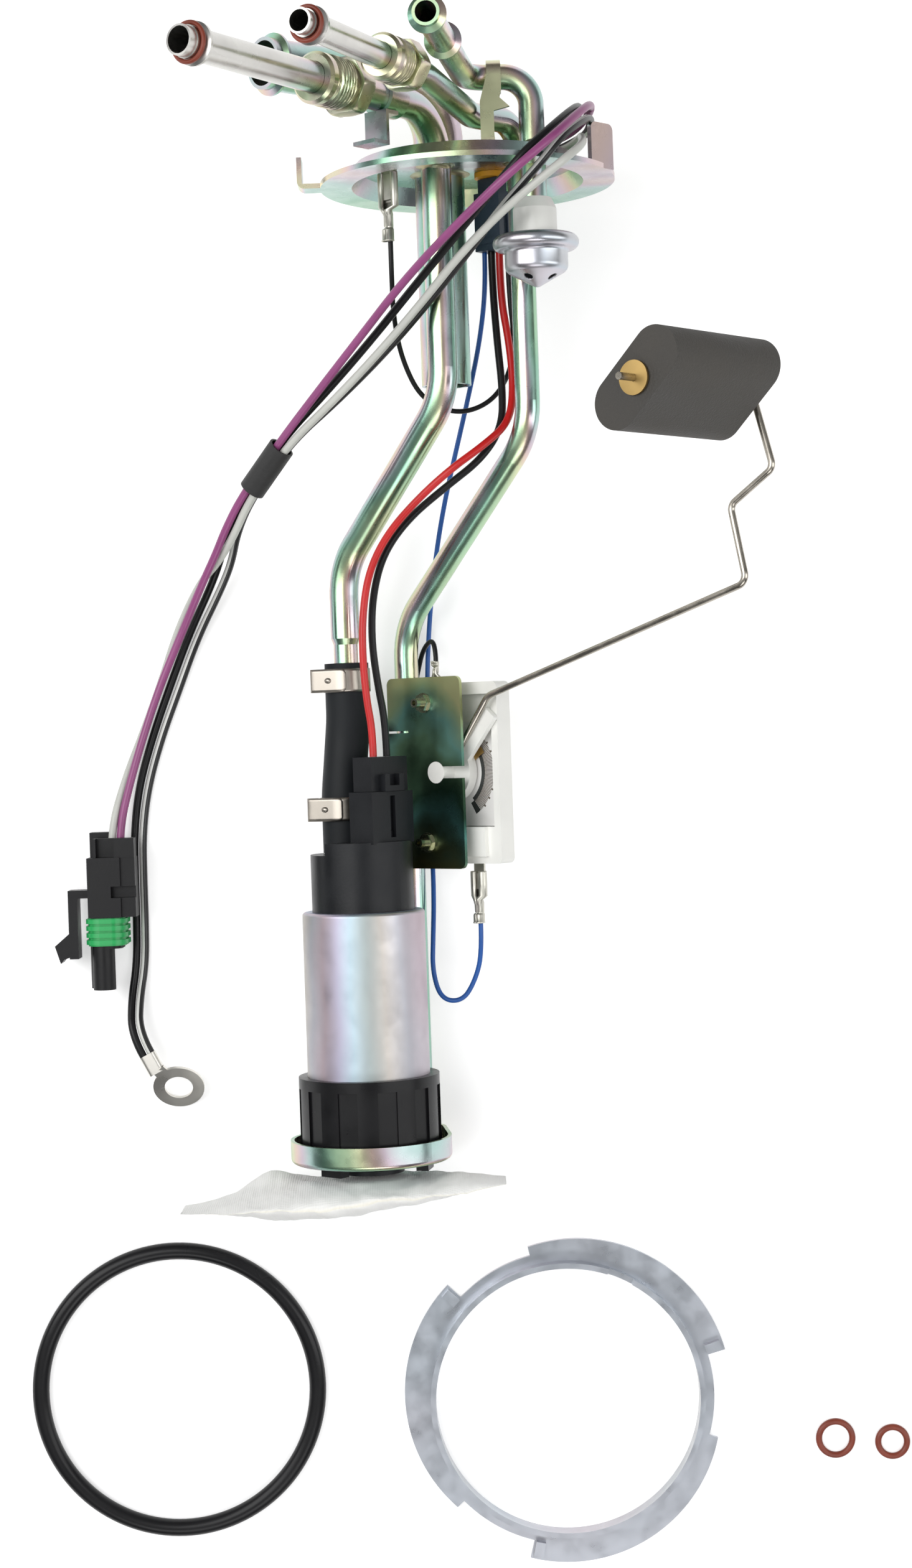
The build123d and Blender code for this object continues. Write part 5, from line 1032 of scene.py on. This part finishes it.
def build_valve(shape):
    rows = []
    for r, depth in valve_outline():
        rows.append([(*polar(r, math.tau * k / CAN_AROUND), depth) for k in range(CAN_AROUND)])
    made = add_grid(shape, rows, around=True)
    shape.faces.new(made[-1])
    for port in range(4):
        at = Vector(polar(PORT_AT, math.radians(PORT_TURN + 90 * port)))
        gone = []
        for face in shape.faces:
            middle = face.calc_center_median()
            if middle.z > 10 and (middle.xy - at).length < PORT_CUT:
                gone.append(face)
        bmesh.ops.delete(shape, geom=gone, context="FACES")
        for vert in {vert for edge in shape.edges if edge.is_boundary for vert in edge.verts}:
            out = vert.co.xy - at
            if vert.co.z > 10 and out.length < PORT_NEAR:
                vert.co.xy = at + out.normalized() * PORT_R
    bmesh.ops.transform(shape, matrix=axes_at(CAN_TOP, (0, -1, 0), (0, 0, 1)), verts=shape.verts)


valve = mesh_piece("vent_valve_can_drawn", "module", clear_zinc, build_valve)
thicken(valve, 0.6, -1)
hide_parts("vent_valve_can")


# Harness end. A black sealed connector with a green ribbed silicone seal and a latch at its side, black cloth
# tape where the wires part, and a tinned ring terminal for the ground bolt.
black_nylon = moulded("black_nylon", (0.010, 0.010, 0.011), 0.40, cloud=90.0, grain=1000.0, depth=0.00004)
finish(black_nylon, "connector_housing", "connector_latch")
finish(moulded("green_silicone", (0.012, 0.36, 0.09), 0.36, mottle=0.08), "connector_seal")
finish(moulded("nickel", (0.74, 0.72, 0.67), 0.30, 1.0, 0.06), "ring_terminal")


def cloth_tape():
    material, tree, shader = new_material("cloth_tape", 0.7)
    drift, skin = wear(tree, 80.0, 900.0)
    set_colour(tree, shader, drift, [(0.3, (0.010, 0.010, 0.010)), (0.7, (0.022, 0.022, 0.022))])
    lean = {"Vector": object_place(tree), "Rotation": (0, 0, math.radians(40.0))}
    turn = add_node(tree, "ShaderNodeMapping", lean)
    laps = add_node(tree, "ShaderNodeTexWave", {
        "Vector": turn.outputs["Vector"], "Scale": 42.0, "Distortion": 0.6,
    }, wave_profile="SAW", bands_direction="Y")
    height = calculate(tree, "ADD", laps.outputs["Fac"], calculate(tree, "MULTIPLY", skin, 0.3))
    set_bump(tree, shader, height, 0.9, 0.0004)
    set_roughness(tree, shader, drift, 0.45, 0.65)
    return material


finish(cloth_tape(), "harness_tape")


# Tank seal. A square-shouldered round ring of black nitrile rubber, glossy from its mould.
finish(moulded("seal_rubber", (0.009, 0.009, 0.010), 0.28, cloud=30.0, grain=300.0), "tank_seal")


# Table and light. A white table, a large soft light above and to the left, two weaker ones, and a
# studio whose ceiling is lighter than its dim walls, so that metal has something dark to show.
def table_white():
    material, tree, shader = new_material("table_white", 0.7)
    drift, _ = wear(tree, 3.0, 200.0)
    set_colour(tree, shader, drift, [(0.3, (0.80, 0.80, 0.80)), (0.7, (0.82, 0.82, 0.82))])
    rays = tree.nodes.new("ShaderNodeLightPath")
    seen = calculate(tree, "MAXIMUM", rays.outputs["Is Camera Ray"], rays.outputs["Is Transmission Ray"])
    seen = calculate(tree, "MAXIMUM", seen, rays.outputs["Is Glossy Ray"])
    shader.inputs["Emission Color"].default_value = (1, 1, 1, 1)
    tree.links.new(calculate(tree, "MULTIPLY", seen, TABLE_GLOW), shader.inputs["Emission Strength"])
    return material


TABLE_GLOW = 0.42
TABLE_Z = -46.85 * MM
HALF = 4.0
table_mesh = bpy.data.meshes.new("table_top")
corners = [(x * HALF, y * HALF, TABLE_Z) for x, y in ((-1, -1), (1, -1), (1, 1), (-1, 1))]
table_mesh.from_pydata(corners, [], [(0, 1, 2, 3)])
table_mesh.materials.append(table_white())
table_top = add_object("table_top", table_mesh)

world = bpy.data.worlds.new("studio")
bpy.context.scene.world = world
world.use_nodes = True
studio = world.node_tree
sky = studio.nodes["Background"]
look = studio.nodes.new("ShaderNodeTexCoord")
height = add_node(studio, "ShaderNodeSeparateXYZ", {"Vector": look.outputs["Generated"]})
grey_at = [(0.0, 0.20), (0.25, 0.12), (0.55, 0.24), (0.85, 0.42)]
stops = [(level, (grey, grey, grey)) for level, grey in grey_at]
studio.links.new(colour_ramp(studio, height.outputs["Z"], stops), sky.inputs["Color"])
sky.inputs["Strength"].default_value = 1.0


KIT_MIDDLE = Vector((0, -0.17, 0))


def soft_light(name, size, power, place):
    data = bpy.data.lights.new(name, "AREA")
    data.shape = "RECTANGLE"
    data.size, data.size_y = size
    data.energy = power
    light = add_object(name, data)
    light.location = place
    light.rotation_euler = (KIT_MIDDLE - Vector(place)).to_track_quat("-Z", "Y").to_euler()


soft_light("key", (0.7, 1.3), 11.5, (-0.75, 0.05, 0.95))
soft_light("side", (0.5, 1.3), 5.5, (0.85, -0.25, 0.75))
soft_light("foot", (0.9, 0.4), 3.2, (0.05, -1.0, 0.75))

bpy.context.scene.view_settings.view_transform = "Standard"
